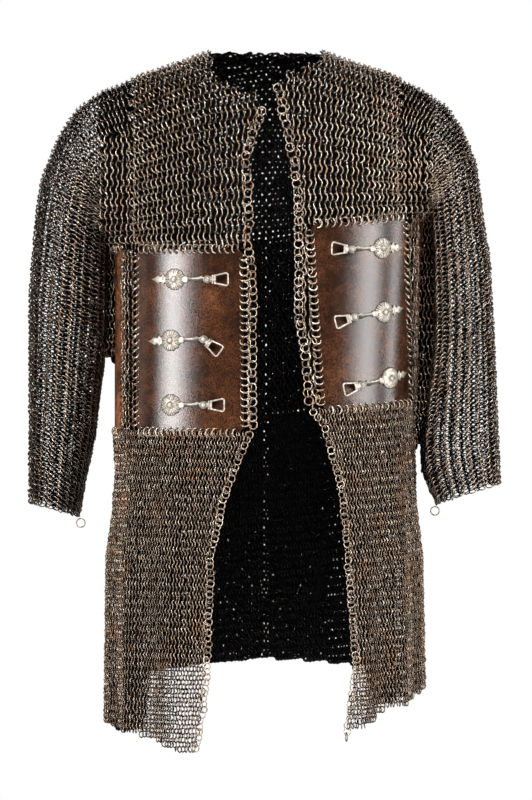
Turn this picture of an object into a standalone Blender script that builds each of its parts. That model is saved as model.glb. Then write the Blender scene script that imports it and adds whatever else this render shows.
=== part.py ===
"""Mail-and-plate shirt, open down the front, with elbow sleeves and a skirt cut higher at the back.

Metres, +Z up, the front faces -Y. The origin lies between the shoulders at the height of the neck
points. Right and left are the wearer's, so the right side is at -X.

Mail is a thin closed sheet with its real outline and folds. Real rings grow out of its edges where
it is linked through the holes of the plates, and loose rings hang from it as single links.
"""

import math

import bmesh
import bpy
import numpy as np
from mathutils import Matrix, Vector

# The whole shirt
shirt_length = 0.800  # neck point to the lowest corner of the front
half_span = 0.267  # centre to the outer line of a hanging sleeve
chest_half_depth = 0.112
joint_gap = 0.0008  # between two sheets of mail, and from mail to a plate's edge
seat_gap = 0.0003  # between two rigid pieces that touch
step_share = 0.000625  # for slopes of the surface, of a radian or of the shirt's length
normal_step = shirt_length * step_share

# Mail
mail_thickness = 0.004
fold_depth = 0.0055  # of the skirt, at the hem
fold_count = 7  # waves round half of the skirt
armhole_share = 0.562  # of half_span, where the sleeve starts
armhole_out = half_span * armhole_share
armpit_spread = 0.008  # by which the underarm stands off the side
sleeve_half_depth = 0.062
torso_roundness = 2.4  # exponent of the oval that the torso makes from above
yoke_roundness = 3.0  # exponent of the curve over the shoulder
sleeve_roundness = 2.2

# Rings
ring_radius = 0.0048  # to the middle of the wire
wire_radius = 0.0007
ring_sides = 3
ring_steps = 6
loose_sides = 4  # of the loose rings, which are seen alone
loose_steps = 6

# Plates
plate_thickness = 0.0016
plate_corner = 0.008
hole_radius = 0.0017
hole_pitch = 0.0077
hole_sides = 5
hole_margin = 0.0092  # from a corner to the first hole along an edge
ring_reach = 0.0009  # from a plate's edge out to the centre of a ring in it
band_rows = 5  # facets down the plates and the mail beside them
linked_every = 6  # of a plate's holes, one in so many carries a modelled ring
side_pitch = 0.0154  # of the side plates' holes

# Clasps
disc_radius = 0.0124
disc_height = 0.0026
disc_flutes = 12
flute_depth = 0.0008
scallop = 0.0007
rivet_radius = 0.0015
rivet_head_radius = 0.0030
rivet_head_height = 0.0017
arm_reach = 0.036  # disc centre to the pivot
arm_start_share = 0.82  # of the disc's radius
arm_shoulder_share = 0.62  # of the arm's height, where its ridge starts
arm_root_half_width = 0.0032
arm_end_half_width = 0.0021
arm_height = 0.0032
finial_length = 0.030  # disc centre to the tip
finial_height = 0.0018
pad_radius = 0.0042
pad_lift = 0.0017  # from the plate to the underside of the pivot's pad
stud_radius = 0.0012
stud_head_radius = 0.0024
stud_head_height = 0.0012
pin_clearance = 0.0004  # round a rivet or a stud
eye_radius = 0.0044
eye_height = 0.0018
collar_start = 0.0034
collar_end = 0.0100
collar_half_width = 0.0027
loop_wire_radius = 0.0009
loop_end = 0.0238  # pivot to the middle of the loop's outer bar
loop_half_width = 0.0070  # at its outer end
loop_corner = 0.0020

# Turned outlines, as (share of the head's radius, share of the head's height)
dome_shares = [(1.0, 0.0), (0.8, 0.7), (0.35, 1.0)]
peened_shares = [(0.7, 0.5), (0.8, 0.0)]
stud_foot_share = 0.8
stud_top_share = 0.6

# Outlines, as (share of shirt_length down, share of half_span out)
side_shares = {
    "right": [(0.0, 0.640), (0.52, 0.640), (0.58, 0.628), (0.64, 0.640), (0.70, 0.664), (1.0, 0.662)],
    "left": [(0.0, 0.667), (0.22, 0.667), (0.50, 0.622), (0.62, 0.624), (0.70, 0.650), (1.0, 0.656)],
}
edge_shares = {
    "right": [
        (0.069, 0.013),
        (0.09, 0.036),
        (0.14, 0.090),
        (0.17, 0.072),
        (0.26, 0.072),
        (0.30, 0.054),
        (0.52, 0.054),
        (0.55, 0.100),
        (0.63, 0.187),
        (0.70, 0.232),
        (0.88, 0.256),
        (0.98, 0.300),
    ],
    "left": [
        (0.035, 0.046),
        (0.09, 0.080),
        (0.14, 0.112),
        (0.19, 0.134),
        (0.36, 0.134),
        (0.42, 0.163),
        (0.49, 0.180),
        (0.52, 0.248),
        (0.60, 0.316),
        (0.69, 0.341),
        (0.85, 0.370),
        (0.95, 0.337),
    ],
}
plate_shares = {  # top inner, top outer, bottom inner, bottom outer corners
    "right": [(0.2675, 0.0975), (0.2675, 0.547), (0.524, 0.093), (0.522, 0.547)],
    "left": [(0.2325, 0.186), (0.221, 0.588), (0.4925, 0.236), (0.481, 0.612)],
}
hem_shares = {  # (share of a half turn from the front centre, share of shirt_length down)
    "right": [
        (0.0, 0.985),
        (0.15, 0.978),
        (0.25, 0.958),
        (0.38, 0.944),
        (0.5, 0.934),
        (0.62, 0.90),
        (0.76, 0.865),
        (1.0, 0.85),
    ],
    "left": [
        (0.0, 0.958),
        (0.18, 0.948),
        (0.30, 0.929),
        (0.40, 0.905),
        (0.5, 0.886),
        (0.62, 0.87),
        (0.76, 0.86),
        (1.0, 0.85),
    ],
}

# Lines across the shoulders, as (share of half_span out, share of shirt_length down)
ridge_shares = [(0.0, -0.028), (0.24, -0.013), (0.36, 0.002), (0.52, 0.019), (armhole_share, 0.025)]
back_neck_shares = [(0.0, -0.016), (0.21, -0.016), (0.24, -0.013)]
neckline_shares = {
    "right": [(0.013, 0.069), (0.05, 0.047), (0.225, 0.019), (0.24, -0.010)],
    "left": [(0.046, 0.035), (0.084, 0.019), (0.232, -0.004), (0.24, -0.012)],
}
neck_point_share = 0.24

# Sleeves, seen from the front, as (share of half_span out, share of shirt_length down)
outer_shares = {
    "right": [
        (armhole_share, 0.025),
        (0.697, 0.042),
        (0.80, 0.066),
        (0.878, 0.105),
        (0.948, 0.165),
        (0.974, 0.22),
        (1.0, 0.33),
        (1.0, 0.622),
    ],
    "left": [
        (armhole_share, 0.025),
        (0.670, 0.042),
        (0.765, 0.063),
        (0.835, 0.098),
        (0.888, 0.145),
        (0.912, 0.21),
        (0.945, 0.28),
        (0.965, 0.40),
        (0.989, 0.595),
    ],
}
inner_shares = {
    "right": [(0.668, 0.30), (0.676, 0.40), (0.698, 0.46), (0.722, 0.53), (0.762, 0.59), (0.787, 0.641)],
    "left": [
        (0.710, 0.27),
        (0.710, 0.40),
        (0.690, 0.46),
        (0.668, 0.51),
        (0.655, 0.55),
        (0.662, 0.58),
        (0.690, 0.605),
        (0.718, 0.624),
    ],
}
closed_share = 0.25  # of the sleeve's run, where its front and back meet under the arm

# Depth of the torso, as (share of shirt_length down, share of chest_half_depth)
depth_shares = [(0.0, 1.0), (0.22, 1.0), (0.53, 0.93), (0.66, 0.96), (1.0, 1.06)]

# Widths round the side, as shares of a half turn
strip_share = 0.075
side_plate_share = 0.19

# The leaf at the end of a clasp, as (share of finial_length out, share of disc_radius up)
finial_shares = [
    (0.33, 0.30),
    (0.47, 0.56),
    (0.50, 0.26),
    (0.66, 0.34),
    (0.80, 0.20),
    (0.86, 0.10),
    (1.0, 0.0),
]

# Places of the clasps' discs, as (share of half_span out, share of shirt_length down)
disc_shares = {
    "right_top": (0.385, 0.309),
    "right_middle": (0.401, 0.395),
    "right_bottom": (0.401, 0.486),
    "left_top": (0.490, 0.265),
    "left_middle": (0.498, 0.355),
    "left_bottom": (0.523, 0.448),
}

# The clasps, as the tilt of the arm and the droop of the loop from it in degrees, and whether the
# clasp has a finial and flutes
clasps = {
    "right_top": (0.0, 0.0, True, True),
    "right_middle": (2.0, -38.0, True, True),
    "right_bottom": (0.0, 0.0, False, True),
    "left_top": (-2.0, 4.0, True, True),
    "left_middle": (-9.0, -8.0, True, True),
    "left_bottom": (-12.0, -4.0, True, False),
}

signs = {"right": -1.0, "left": 1.0}


def clear_scene():
    for old in list(bpy.data.objects):
        bpy.data.objects.remove(old, do_unlink=True)


def material(name, colour, metallic, roughness):
    made = bpy.data.materials.new(name)
    made.use_nodes = True
    shader = made.node_tree.nodes["Principled BSDF"]
    shader.inputs["Base Color"].default_value = (*colour, 1.0)
    shader.inputs["Metallic"].default_value = metallic
    shader.inputs["Roughness"].default_value = roughness
    return made


def new_object(name, mesh, finish, smooth=True):
    made = bpy.data.objects.new(name, mesh)
    bpy.context.collection.objects.link(made)
    if finish is not None:
        mesh.materials.append(finish)
    if smooth:
        mesh.shade_smooth()
        mesh.set_sharp_from_angle(angle=math.radians(35))
    return made


def guide(name, mesh):
    """An object that only shapes others."""
    made = new_object(name, mesh, None, smooth=False)
    made.hide_render = True
    made.display_type = "WIRE"
    return made


def mesh_of(name, bm):
    bmesh.ops.recalc_face_normals(bm, faces=bm.faces)
    mesh = bpy.data.meshes.new(name)
    bm.to_mesh(mesh)
    bm.free()
    return mesh


def read(shares, at):
    """A line through the points of a table of shares."""
    places, values = zip(*shares)
    return float(np.interp(at, places, values))


def between(first, last, share):
    return first + (last - first) * share


def power(value, exponent):
    return math.copysign(abs(value) ** exponent, value)


# The surface that the garment lies on


def half_width(side, z):
    return half_span * read(side_shares[side], -z / shirt_length)


def half_depth(z):
    return chest_half_depth * read(depth_shares, -z / shirt_length)


def edge_out(side, z):
    """How far from the centre the front edge lies."""
    return half_span * read(edge_shares[side], -z / shirt_length)


def angle_at(side, out, z):
    """The angle round the torso, from the front centre, of a place that far out on its front."""
    share = min(max(out / half_width(side, z), 0.0), 1.0)
    return math.asin(share ** (torso_roundness / 2))


def waist_z(side):
    return -shirt_length * plate_shares[side][3][0]


def armpit_z(side):
    return -shirt_length * plate_shares[side][1][0]


def fold(angle, z):
    """The skirt's folds, which start at the waist and deepen to the hem."""
    start = -shirt_length * plate_shares["right"][2][0]
    deep = min(max((start - z) / (shirt_length + start), 0.0), 1.0)
    return fold_depth * deep * math.sin(2 * fold_count * angle)


def torso(side, angle, z):
    """A point at an angle round the torso, 0 at the front centre and pi at the back centre."""
    bend = 2 / torso_roundness
    out = half_width(side, z) * power(math.sin(angle), bend)
    deep = half_depth(z) * power(math.cos(angle), bend)
    spread = fold(angle, z)
    out += spread * math.sin(angle)
    deep += spread * math.cos(angle)
    return Vector((signs[side] * out, -deep, z))


def outward(normal, place):
    """The unit normal on the side that faces away from the torso's upright axis."""
    away = normal.x * place.x + normal.y * place.y
    return normal.normalized() * math.copysign(1, away)


def oval(share, exponent):
    return max(1.0 - min(abs(share), 1.0) ** exponent, 0.0) ** (1 / exponent)


def ridge_z(out):
    return -shirt_length * read(ridge_shares, out / half_span)


def yoke(x, z, face):
    """A point of the chest (face -1) or the upper back (face 1), up to the shoulder's ridge."""
    side = "right" if x < 0 else "left"
    level = between(armpit_z("right"), armpit_z("left"), (x / armhole_out + 1) / 2)
    low = min(z, level)
    deep = half_depth(low) * oval(x / half_width(side, low), torso_roundness)
    if z > level:
        deep *= oval((z - level) / (ridge_z(abs(x)) - level), yoke_roundness)
    return Vector((x, face * deep, z))


class Run:
    """A line through points, read by the share of its length."""

    def __init__(self, points):
        self.points = np.array(points)
        steps = np.linalg.norm(np.diff(self.points, axis=0), axis=1)
        self.places = np.concatenate([[0.0], np.cumsum(steps)]) / steps.sum()

    def at(self, share):
        return [float(np.interp(share, self.places, column)) for column in self.points.T]


def sized(shares):
    return [(out * half_span, -down * shirt_length) for out, down in shares]


def sleeve_runs(side):
    """The outer and the inner line of a sleeve as (out, z)."""
    armpit = (half_width(side, armpit_z(side)) + armpit_spread, armpit_z(side) + 2 * mail_thickness)
    return Run(sized(outer_shares[side])), Run([armpit] + sized(inner_shares[side]))


def sleeve(side, runs, share, turn):
    """A point of the sleeve. share runs from the armhole to the cuff, and turn from -1 at the lower
    front edge over 0 at the ridge to 1 at the lower back edge."""
    outer, inner = runs
    top = Vector(outer.at(share))
    if share < closed_share:
        part = share / closed_share
        start = angle_at(side, armhole_out, armpit_z(side))
        edge = torso(side, between(start, math.pi / 2, part), armpit_z(side))
        lift = between(joint_gap, 2 * mail_thickness, part)
        low = Vector((abs(edge.x) + armpit_spread * part, edge.z + lift))
        reach = -edge.y
        deep = between(-torso(side, start, armpit_z(side)).y, sleeve_half_depth, part)
        bend = 2 / between(yoke_roundness, sleeve_roundness, part)
    else:
        low = Vector(inner.at((share - closed_share) / (1 - closed_share)))
        reach = 0.0
        deep = sleeve_half_depth
        bend = 2 / sleeve_roundness
    start = -math.acos(min(reach / deep, 1.0) ** (1 / bend)) if reach > normal_step else -math.pi / 2
    low_share = power(math.sin(start), bend)
    centre = (low - top * low_share) / (1 - low_share)
    angle = between(math.pi / 2, start, abs(turn))
    flat = centre + (top - centre) * power(math.sin(angle), bend)
    away = deep * power(math.cos(angle), bend) if abs(turn) > 0 else 0.0
    return Vector((signs[side] * flat.x, math.copysign(away, turn), flat.y))


# Mail sheets


def sheet(name, rows, finish, rings=()):
    """A closed sheet through a grid of points, with rings grown into it."""
    bm = bmesh.new()
    grid = [[bm.verts.new(point) for point in row] for row in rows]
    for upper, lower in zip(grid, grid[1:]):
        for first, second, third, fourth in zip(upper, upper[1:], lower[1:], lower):
            bm.faces.new((first, second, third, fourth))
    bmesh.ops.remove_doubles(bm, verts=bm.verts, dist=seat_gap / 10)
    made = new_object(name, mesh_of(name, bm), finish)
    solid = made.modifiers.new("thickness", "SOLIDIFY")
    solid.thickness = mail_thickness
    solid.offset = 0.0
    if rings:
        grow = made.modifiers.new("rings", "BOOLEAN")
        grow.operation = "UNION"
        grow.object = guide(name + "_rings", ring_mesh(name + "_rings", rings))
        grow.solver = "EXACT"
    return made


def steps(count):
    return [index / count for index in range(count + 1)]


def torso_rows(side, front, back, top, bottom, columns, rows):
    """A grid round the torso. front and back give an angle at a height, top and bottom a height at
    an angle."""
    grid = []
    for v in steps(rows):
        line = []
        for u in steps(columns):
            z = between(top(0.0), bottom(0.0), v)
            for _ in range(6):
                angle = between(front(z), back(z), u)
                z = between(top(angle), bottom(angle), v)
            line.append(torso(side, angle, z))
        grid.append(line)
    return grid


def joined(halves):
    """One grid from a right and a left half that meet at the back centre."""
    right, left = halves
    return [first + second[-2::-1] for first, second in zip(right, left)]


def ease(share):
    return math.sin(share * math.pi / 2) ** (2 / yoke_roundness)


def chest_rows(side, columns, rows):
    """From the plate's top edge up to the neckline and the ridge, and from the front edge out."""
    grid = []
    outer = armhole_out - joint_gap
    for v in steps(rows):
        line = []
        for u in steps(columns):
            z = armpit_z(side)
            for _ in range(6):
                out = between(edge_out(side, z), outer, u)
                top = top_z(side, out)
                low = plate_line(side, angle_at(side, out, armpit_z(side)), 0) + joint_gap
                z = between(low, top, ease(v))
            point = yoke(signs[side] * out, z, -1)
            point.y = min(point.y, -joint_gap / 2)
            line.append(point)
        grid.append(line)
    return grid


def top_z(side, out):
    share = out / half_span
    if share < neck_point_share:
        return -shirt_length * read(neckline_shares[side], share)
    return ridge_z(out)


def upper_back_rows(columns, rows):
    grid = []
    reach = armhole_out - joint_gap
    for v in steps(rows):
        line = []
        for u in steps(columns):
            x = between(-reach, reach, u)
            share = abs(x) / half_span
            low = between(armpit_z("right"), armpit_z("left"), (x / armhole_out + 1) / 2)
            top = ridge_z(abs(x))
            if share < neck_point_share:
                top = -shirt_length * read(back_neck_shares, share)
            point = yoke(x, between(low + joint_gap, top, ease(v)), 1)
            point.y = max(point.y, joint_gap / 2)
            line.append(point)
        grid.append(line)
    return grid


def sleeve_rows(side, stations, around):
    runs = sleeve_runs(side)
    first = joint_gap / half_span
    shares = [between(first, closed_share, step) for step in steps(3)]
    shares += [between(closed_share, 1.0, step) for step in steps(stations)[1:]]
    turns = [2 * step - 1 for step in steps(around)]
    return [[sleeve(side, runs, share, turn) for turn in turns] for share in shares]


# Plates


def plate_line(side, angle, edge):
    """The height of the front plate's top (0) or bottom (1) edge, carried on to both sides."""
    first, last = plate_shares[side][2 * edge : 2 * edge + 2]
    start = angle_at(side, first[1] * half_span, -first[0] * shirt_length)
    end = angle_at(side, last[1] * half_span, -last[0] * shirt_length)
    share = min(max((angle - start) / (end - start), 0.0), 1.0)
    return -shirt_length * between(first[0], last[0], share)


def back_line(side, angle, edge):
    """The same line on the back, where it runs level to the other side's height."""
    here = -shirt_length * plate_shares[side][2 * edge + 1][0]
    other = "left" if side == "right" else "right"
    there = -shirt_length * plate_shares[other][2 * edge + 1][0]
    out = abs(torso(side, angle, here).x) / half_width(side, here)
    return between((here + there) / 2, here, min(out * half_width(side, here) / armhole_out, 1.0))


def plate_edge_angle(side, z, edge):
    """The angle of the front plate's inner (0) or outer (1) edge at a height."""
    high, low = plate_shares[side][edge], plate_shares[side][2 + edge]
    share = min(max((-z / shirt_length - high[0]) / (low[0] - high[0]), 0.0), 1.0)
    return angle_at(side, between(high[1], low[1], share) * half_span, z)


def plate_point(side, first, u, v):
    """A point of the front plate, or of the side plate where first is true."""
    z = between(armpit_z(side), waist_z(side), v)
    for _ in range(6):
        inner, outer = plate_edge_angle(side, z, 0), plate_edge_angle(side, z, 1)
        if first:
            inner = outer + math.pi * strip_share
            outer = inner + math.pi * side_plate_share
        angle = between(inner, outer, u)
        z = between(plate_line(side, angle, 0), plate_line(side, angle, 1), v)
    return torso(side, angle, z)


class Plate:
    """A plate bent round the torso, with its rows of holes and the rings that link it."""

    def __init__(self, side, at_side, pitch):
        self.side, self.at_side, self.pitch = side, at_side, pitch
        self.holes, self.rings = [], {"top": [], "bottom": [], "inner": [], "outer": []}
        for name, start, end, out in (
            ("top", (0, 0), (1, 0), (0, -1)),
            ("bottom", (0, 1), (1, 1), (0, 1)),
            ("inner", (0, 0), (0, 1), (-1, 0)),
            ("outer", (1, 0), (1, 1), (1, 0)),
        ):
            self.punch(name, start, end, out)

    def point(self, u, v):
        return plate_point(self.side, self.at_side, u, v)

    def frame(self, u, v):
        """The directions across and down the plate at a place, and its outward normal."""
        small = step_share
        across = self.point(u + small, v) - self.point(u - small, v)
        down = self.point(u, v + small) - self.point(u, v - small)
        normal = outward(across.cross(down), self.point(u, v))
        return across.normalized(), down.normalized(), normal

    def punch(self, name, start, end, out):
        """Holes along one edge, with the frames of the rings through every so manieth of them."""
        first, last = self.point(*start), self.point(*end)
        middle = self.point(between(start[0], end[0], 0.5), between(start[1], end[1], 0.5))
        length = (middle - first).length + (last - middle).length
        count = round((length - 2 * hole_margin) / self.pitch)
        for index in range(count + 1):
            share = between(hole_margin, length - hole_margin, index / count) / length
            u, v = between(start[0], end[0], share), between(start[1], end[1], share)
            across, down, normal = self.frame(u, v)
            away = across * out[0] + down * out[1]
            along = down if out[0] else across
            away = (away - along * away.dot(along)).normalized()
            edge = self.point(u, v)
            inset = ring_radius * math.cos(math.pi / ring_steps) - ring_reach
            self.holes.append((edge - away * inset, normal))
            if (index - count // 2) % round(linked_every * hole_pitch / self.pitch) == 0:
                self.rings[name].append((edge + away * ring_reach, away, normal))


def ring_mesh(name, rings, count=ring_steps, sides=ring_sides):
    """Rings, each given by its centre and the two directions that its plane holds."""
    bm = bmesh.new()
    for centre, away, normal in rings:
        path = []
        for index in range(count):
            angle = 2 * math.pi * (index + 0.5) / count
            path.append(centre + ring_radius * (away * math.cos(angle) + normal * math.sin(angle)))
        sweep(bm, path, wire_radius, sides, away.cross(normal))
    return mesh_of(name, bm)


class Link:
    """A ring grown out of a sheet's lower edge, and the loose ring that hangs in it."""

    def __init__(self, edge, along):
        down = Vector((0, 0, -1))
        along = (along - down * along.dot(down)).normalized()
        flat = ring_radius * math.cos(math.pi / ring_steps)
        carrier = edge + down * (flat - wire_radius - seat_gap)
        hang = carrier + down * (2 * flat - 2 * wire_radius - seat_gap)
        self.carrier = (carrier, down, along)
        self.loose = (hang, down, along.cross(down))


def sweep(bm, path, radius, sides, up):
    """A closed tube along a flat closed path."""
    loops = []
    for before, here, after in zip(path[-1:] + path[:-1], path, path[1:] + path[:1]):
        ahead = (after - before).normalized()
        sideways = up.cross(ahead).normalized()
        turn = (here - before).angle(after - here) / 2
        loop = []
        for index in range(sides):
            angle = 2 * math.pi * (index + 0.5) / sides
            spoke = sideways * (math.cos(angle) / math.cos(turn)) + up * math.sin(angle)
            loop.append(bm.verts.new(here + radius * spoke))
        loops.append(loop)
    skin(bm, loops)


def skin(bm, loops):
    """Faces between one closed loop of vertices and the next, and from the last to the first."""
    for low, high in zip(loops, loops[1:] + loops[:1]):
        for index in range(len(low)):
            following = (index + 1) % len(low)
            bm.faces.new((low[index], low[following], high[following], high[index]))


def prism(bm, outline, low, high):
    """A straight-sided solid over an outline of (x, y) points."""
    bottom = [bm.verts.new((x, y, low)) for x, y in outline]
    top = [bm.verts.new((x, y, high)) for x, y in outline]
    bm.faces.new(bottom[::-1])
    bm.faces.new(top)
    for index in range(len(outline)):
        following = (index + 1) % len(outline)
        bm.faces.new((bottom[index], bottom[following], top[following], top[index]))


def circle(radius, sides, centre=0.0):
    angles = [2 * math.pi * (index + 0.5) / sides for index in range(sides)]
    return [(centre + radius * math.cos(angle), radius * math.sin(angle)) for angle in angles]


def plate_object(name, plate, columns, rows, finish, pins=()):
    """The plate with rounded corners, its link holes and a hole for each rivet."""
    bm = bmesh.new()
    grid = [[bm.verts.new(plate.point(u, v)) for u in steps(columns)] for v in steps(rows)]
    for upper, lower in zip(grid, grid[1:]):
        for first, second, third, fourth in zip(upper, upper[1:], lower[1:], lower):
            bm.faces.new((first, second, third, fourth))
    corners = [grid[0][0], grid[0][-1], grid[-1][0], grid[-1][-1]]
    bmesh.ops.bevel(
        bm, geom=corners, offset=plate_corner, segments=2, profile=0.5, affect="VERTICES"
    )
    made = new_object(name, mesh_of(name, bm), finish)
    solid = made.modifiers.new("thickness", "SOLIDIFY")
    solid.thickness = plate_thickness
    solid.offset = 0.0
    cutter = bmesh.new()
    for centre, normal in plate.holes:
        peg(cutter, centre, normal, hole_radius, hole_sides)
    for centre, normal in pins:
        peg(cutter, centre, normal, rivet_radius + pin_clearance, 2 * hole_sides)
    cut = made.modifiers.new("holes", "BOOLEAN")
    cut.operation = "DIFFERENCE"
    cut.object = guide(name + "_holes", mesh_of(name + "_holes", cutter))
    cut.solver = "EXACT"
    return made


def peg(bm, centre, normal, radius, sides):
    turned = normal.to_track_quat("Z", "Y").to_matrix().to_4x4()
    bmesh.ops.create_cone(
        bm,
        cap_ends=True,
        segments=sides,
        radius1=radius,
        radius2=radius,
        depth=4 * plate_thickness,
        matrix=Matrix.Translation(centre) @ turned,
    )


# Clasps. In their own frame x runs along the arm, y up and z out from the plate's face.


def fluted_disc(bm, fluted):
    """A round boss with a bore, radial flutes and a scalloped rim."""
    bore = rivet_radius + pin_clearance
    count = 2 * disc_flutes
    loops = [[], [], [], []]
    for index in range(count):
        angle = 2 * math.pi * index / count
        dip = (index % 2) if fluted else 0
        rim, top = disc_radius - scallop * dip, disc_height - flute_depth * dip
        for loop, radius, height in zip(
            loops, (bore, rim, rim, bore), (seat_gap, seat_gap, top - flute_depth, top)
        ):
            loop.append(bm.verts.new((radius * math.cos(angle), radius * math.sin(angle), height)))
    skin(bm, loops)


def arm(bm):
    """A tapering bar with a ridge, from inside the disc to the pad."""
    root = (disc_radius * arm_start_share, arm_root_half_width, seat_gap)
    end = (arm_reach, arm_end_half_width, pad_lift)
    rings = []
    for x, half, low in (root, end):
        shoulder = between(low, arm_height, arm_shoulder_share)
        shape = ((-half, low), (half, low), (half, shoulder), (0, arm_height), (-half, shoulder))
        rings.append([bm.verts.new((x, y, z)) for y, z in shape])
    bm.faces.new(rings[0][::-1])
    bm.faces.new(rings[1])
    for index in range(len(rings[0])):
        following = (index + 1) % len(rings[0])
        bm.faces.new(
            (rings[0][index], rings[0][following], rings[1][following], rings[1][index])
        )


def finial(bm):
    """A pointed leaf with two barbs, on the far side of the disc."""
    half = [(-out * finial_length, up * disc_radius) for out, up in finial_shares]
    outline = half + [(x, -y) for x, y in half[-2::-1]]
    prism(bm, outline, seat_gap, finial_height)


def clasp_shape(name, with_finial, fluted):
    """The casting in its own frame, with the disc's and the pivot's bores cut."""
    bm = bmesh.new()
    fluted_disc(bm, fluted)
    body = new_object(name, mesh_of(name, bm), None, smooth=False)
    for index, build in enumerate([arm, pad] + [finial] * with_finial):
        bm = bmesh.new()
        build(bm)
        part = guide(f"{name}_part_{index}", mesh_of(name, bm))
        join = body.modifiers.new("join", "BOOLEAN")
        join.operation, join.object, join.solver = "UNION", part, "EXACT"
    bm = bmesh.new()
    prism(bm, circle(stud_radius + pin_clearance, 8, arm_reach), -arm_height, 2 * arm_height)
    bore = guide(name + "_bore", mesh_of(name, bm))
    cut = body.modifiers.new("bore", "BOOLEAN")
    cut.operation, cut.object, cut.solver = "DIFFERENCE", bore, "EXACT"
    graph = bpy.context.evaluated_depsgraph_get()
    mesh = bpy.data.meshes.new_from_object(body.evaluated_get(graph))
    bpy.data.objects.remove(body, do_unlink=True)
    return mesh


def pad(bm):
    prism(bm, circle(pad_radius, 10, arm_reach), pad_lift, arm_height)


class Seat:
    """Where a clasp sits on its plate. It lays the clasp's own frame on the bent face."""

    def __init__(self, side, out, down, tilt):
        self.side = side
        self.z = -down * shirt_length
        self.angle = angle_at(side, out * half_span, self.z)
        near = torso(side, self.angle + step_share, self.z)
        far = torso(side, self.angle - step_share, self.z)
        self.speed = (near - far).length / (2 * step_share)
        self.tilt = math.radians(tilt)

    def point(self, x, y, height):
        along = x * math.cos(self.tilt) - y * math.sin(self.tilt)
        up = x * math.sin(self.tilt) + y * math.cos(self.tilt)
        angle, z = self.angle - along / self.speed, self.z + up
        before, after = angle - step_share, angle + step_share
        across = torso(self.side, before, z) - torso(self.side, after, z)
        rise = torso(self.side, angle, z + normal_step) - torso(self.side, angle, z - normal_step)
        face = torso(self.side, angle, z)
        return face + outward(across.cross(rise), face) * (plate_thickness / 2 + height)

    def frame(self, x, droop):
        """A frame at a place along the arm, turned down by the droop, with z out of the plate."""
        origin = self.point(x, 0, 0)
        ahead = (self.point(x + normal_step, 0, 0) - origin).normalized()
        normal = (self.point(x, 0, normal_step) - origin).normalized()
        up = self.point(x, normal_step, 0) - origin
        side_axis = normal.cross(ahead).normalized()
        if side_axis.dot(up) < 0:
            side_axis.negate()
        turned = ahead * math.cos(droop) + side_axis * math.sin(droop)
        raised = side_axis * math.cos(droop) - ahead * math.sin(droop)
        return origin, turned, raised, normal


def placed(frame):
    """A frame as a matrix, with its up turned over where the frame is a mirror image."""
    origin, ahead, up, normal = frame
    if ahead.cross(up).dot(normal) < 0:
        up = -up
    turn = Matrix((ahead, up, normal)).transposed().to_4x4()
    return Matrix.Translation(origin) @ turn


def turned_pin(name, profile, sides, finish, frame):
    """A pin turned from a profile of (radius, height) pairs, set on a frame's z axis."""
    bm = bmesh.new()
    loops = []
    for radius, height in profile:
        loops.append([bm.verts.new((x, y, height)) for x, y in circle(radius, sides)])
    for low, high in zip(loops, loops[1:]):
        for index in range(sides):
            following = (index + 1) % sides
            bm.faces.new((low[index], low[following], high[following], high[index]))
    bm.faces.new(loops[0][::-1])
    bm.faces.new(loops[-1])
    new_object(name, mesh_of(name, bm), finish).matrix_world = placed(frame)


def loop_object(name, finish, frame, lift):
    """The swivelling loop: an eye round the stud, a collar and a bar bent to a trapezium."""
    bm = bmesh.new()
    start, end = collar_end - loop_wire_radius, loop_end
    narrow = collar_half_width
    half = [(start, narrow), (end - loop_corner, loop_half_width), (end, loop_half_width - loop_corner)]
    outline = half + [(x, -y) for x, y in half[::-1]]
    sweep(bm, [Vector((x, y, 0)) for x, y in outline], loop_wire_radius, 6, Vector((0, 0, 1)))
    made = new_object(name, mesh_of(name, bm), finish)
    eye, collar, bore = bmesh.new(), bmesh.new(), bmesh.new()
    prism(eye, circle(eye_radius, 10), -eye_height / 2, eye_height / 2)
    block = [(collar_start, -collar_half_width), (collar_end, -collar_half_width)]
    block += [(x, -y) for x, y in block[::-1]]
    prism(collar, block, -eye_height / 2, eye_height / 2)
    prism(bore, circle(stud_radius + pin_clearance, 8), -eye_radius, eye_radius)
    for part, operation in ((eye, "UNION"), (collar, "UNION"), (bore, "DIFFERENCE")):
        shape = guide(f"{name}_{len(made.modifiers)}", mesh_of(name, part))
        shape.parent = made
        change = made.modifiers.new("shape", "BOOLEAN")
        change.operation, change.object, change.solver = operation, shape, "EXACT"
    made.matrix_world = placed(frame) @ Matrix.Translation((0, 0, lift))


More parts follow.
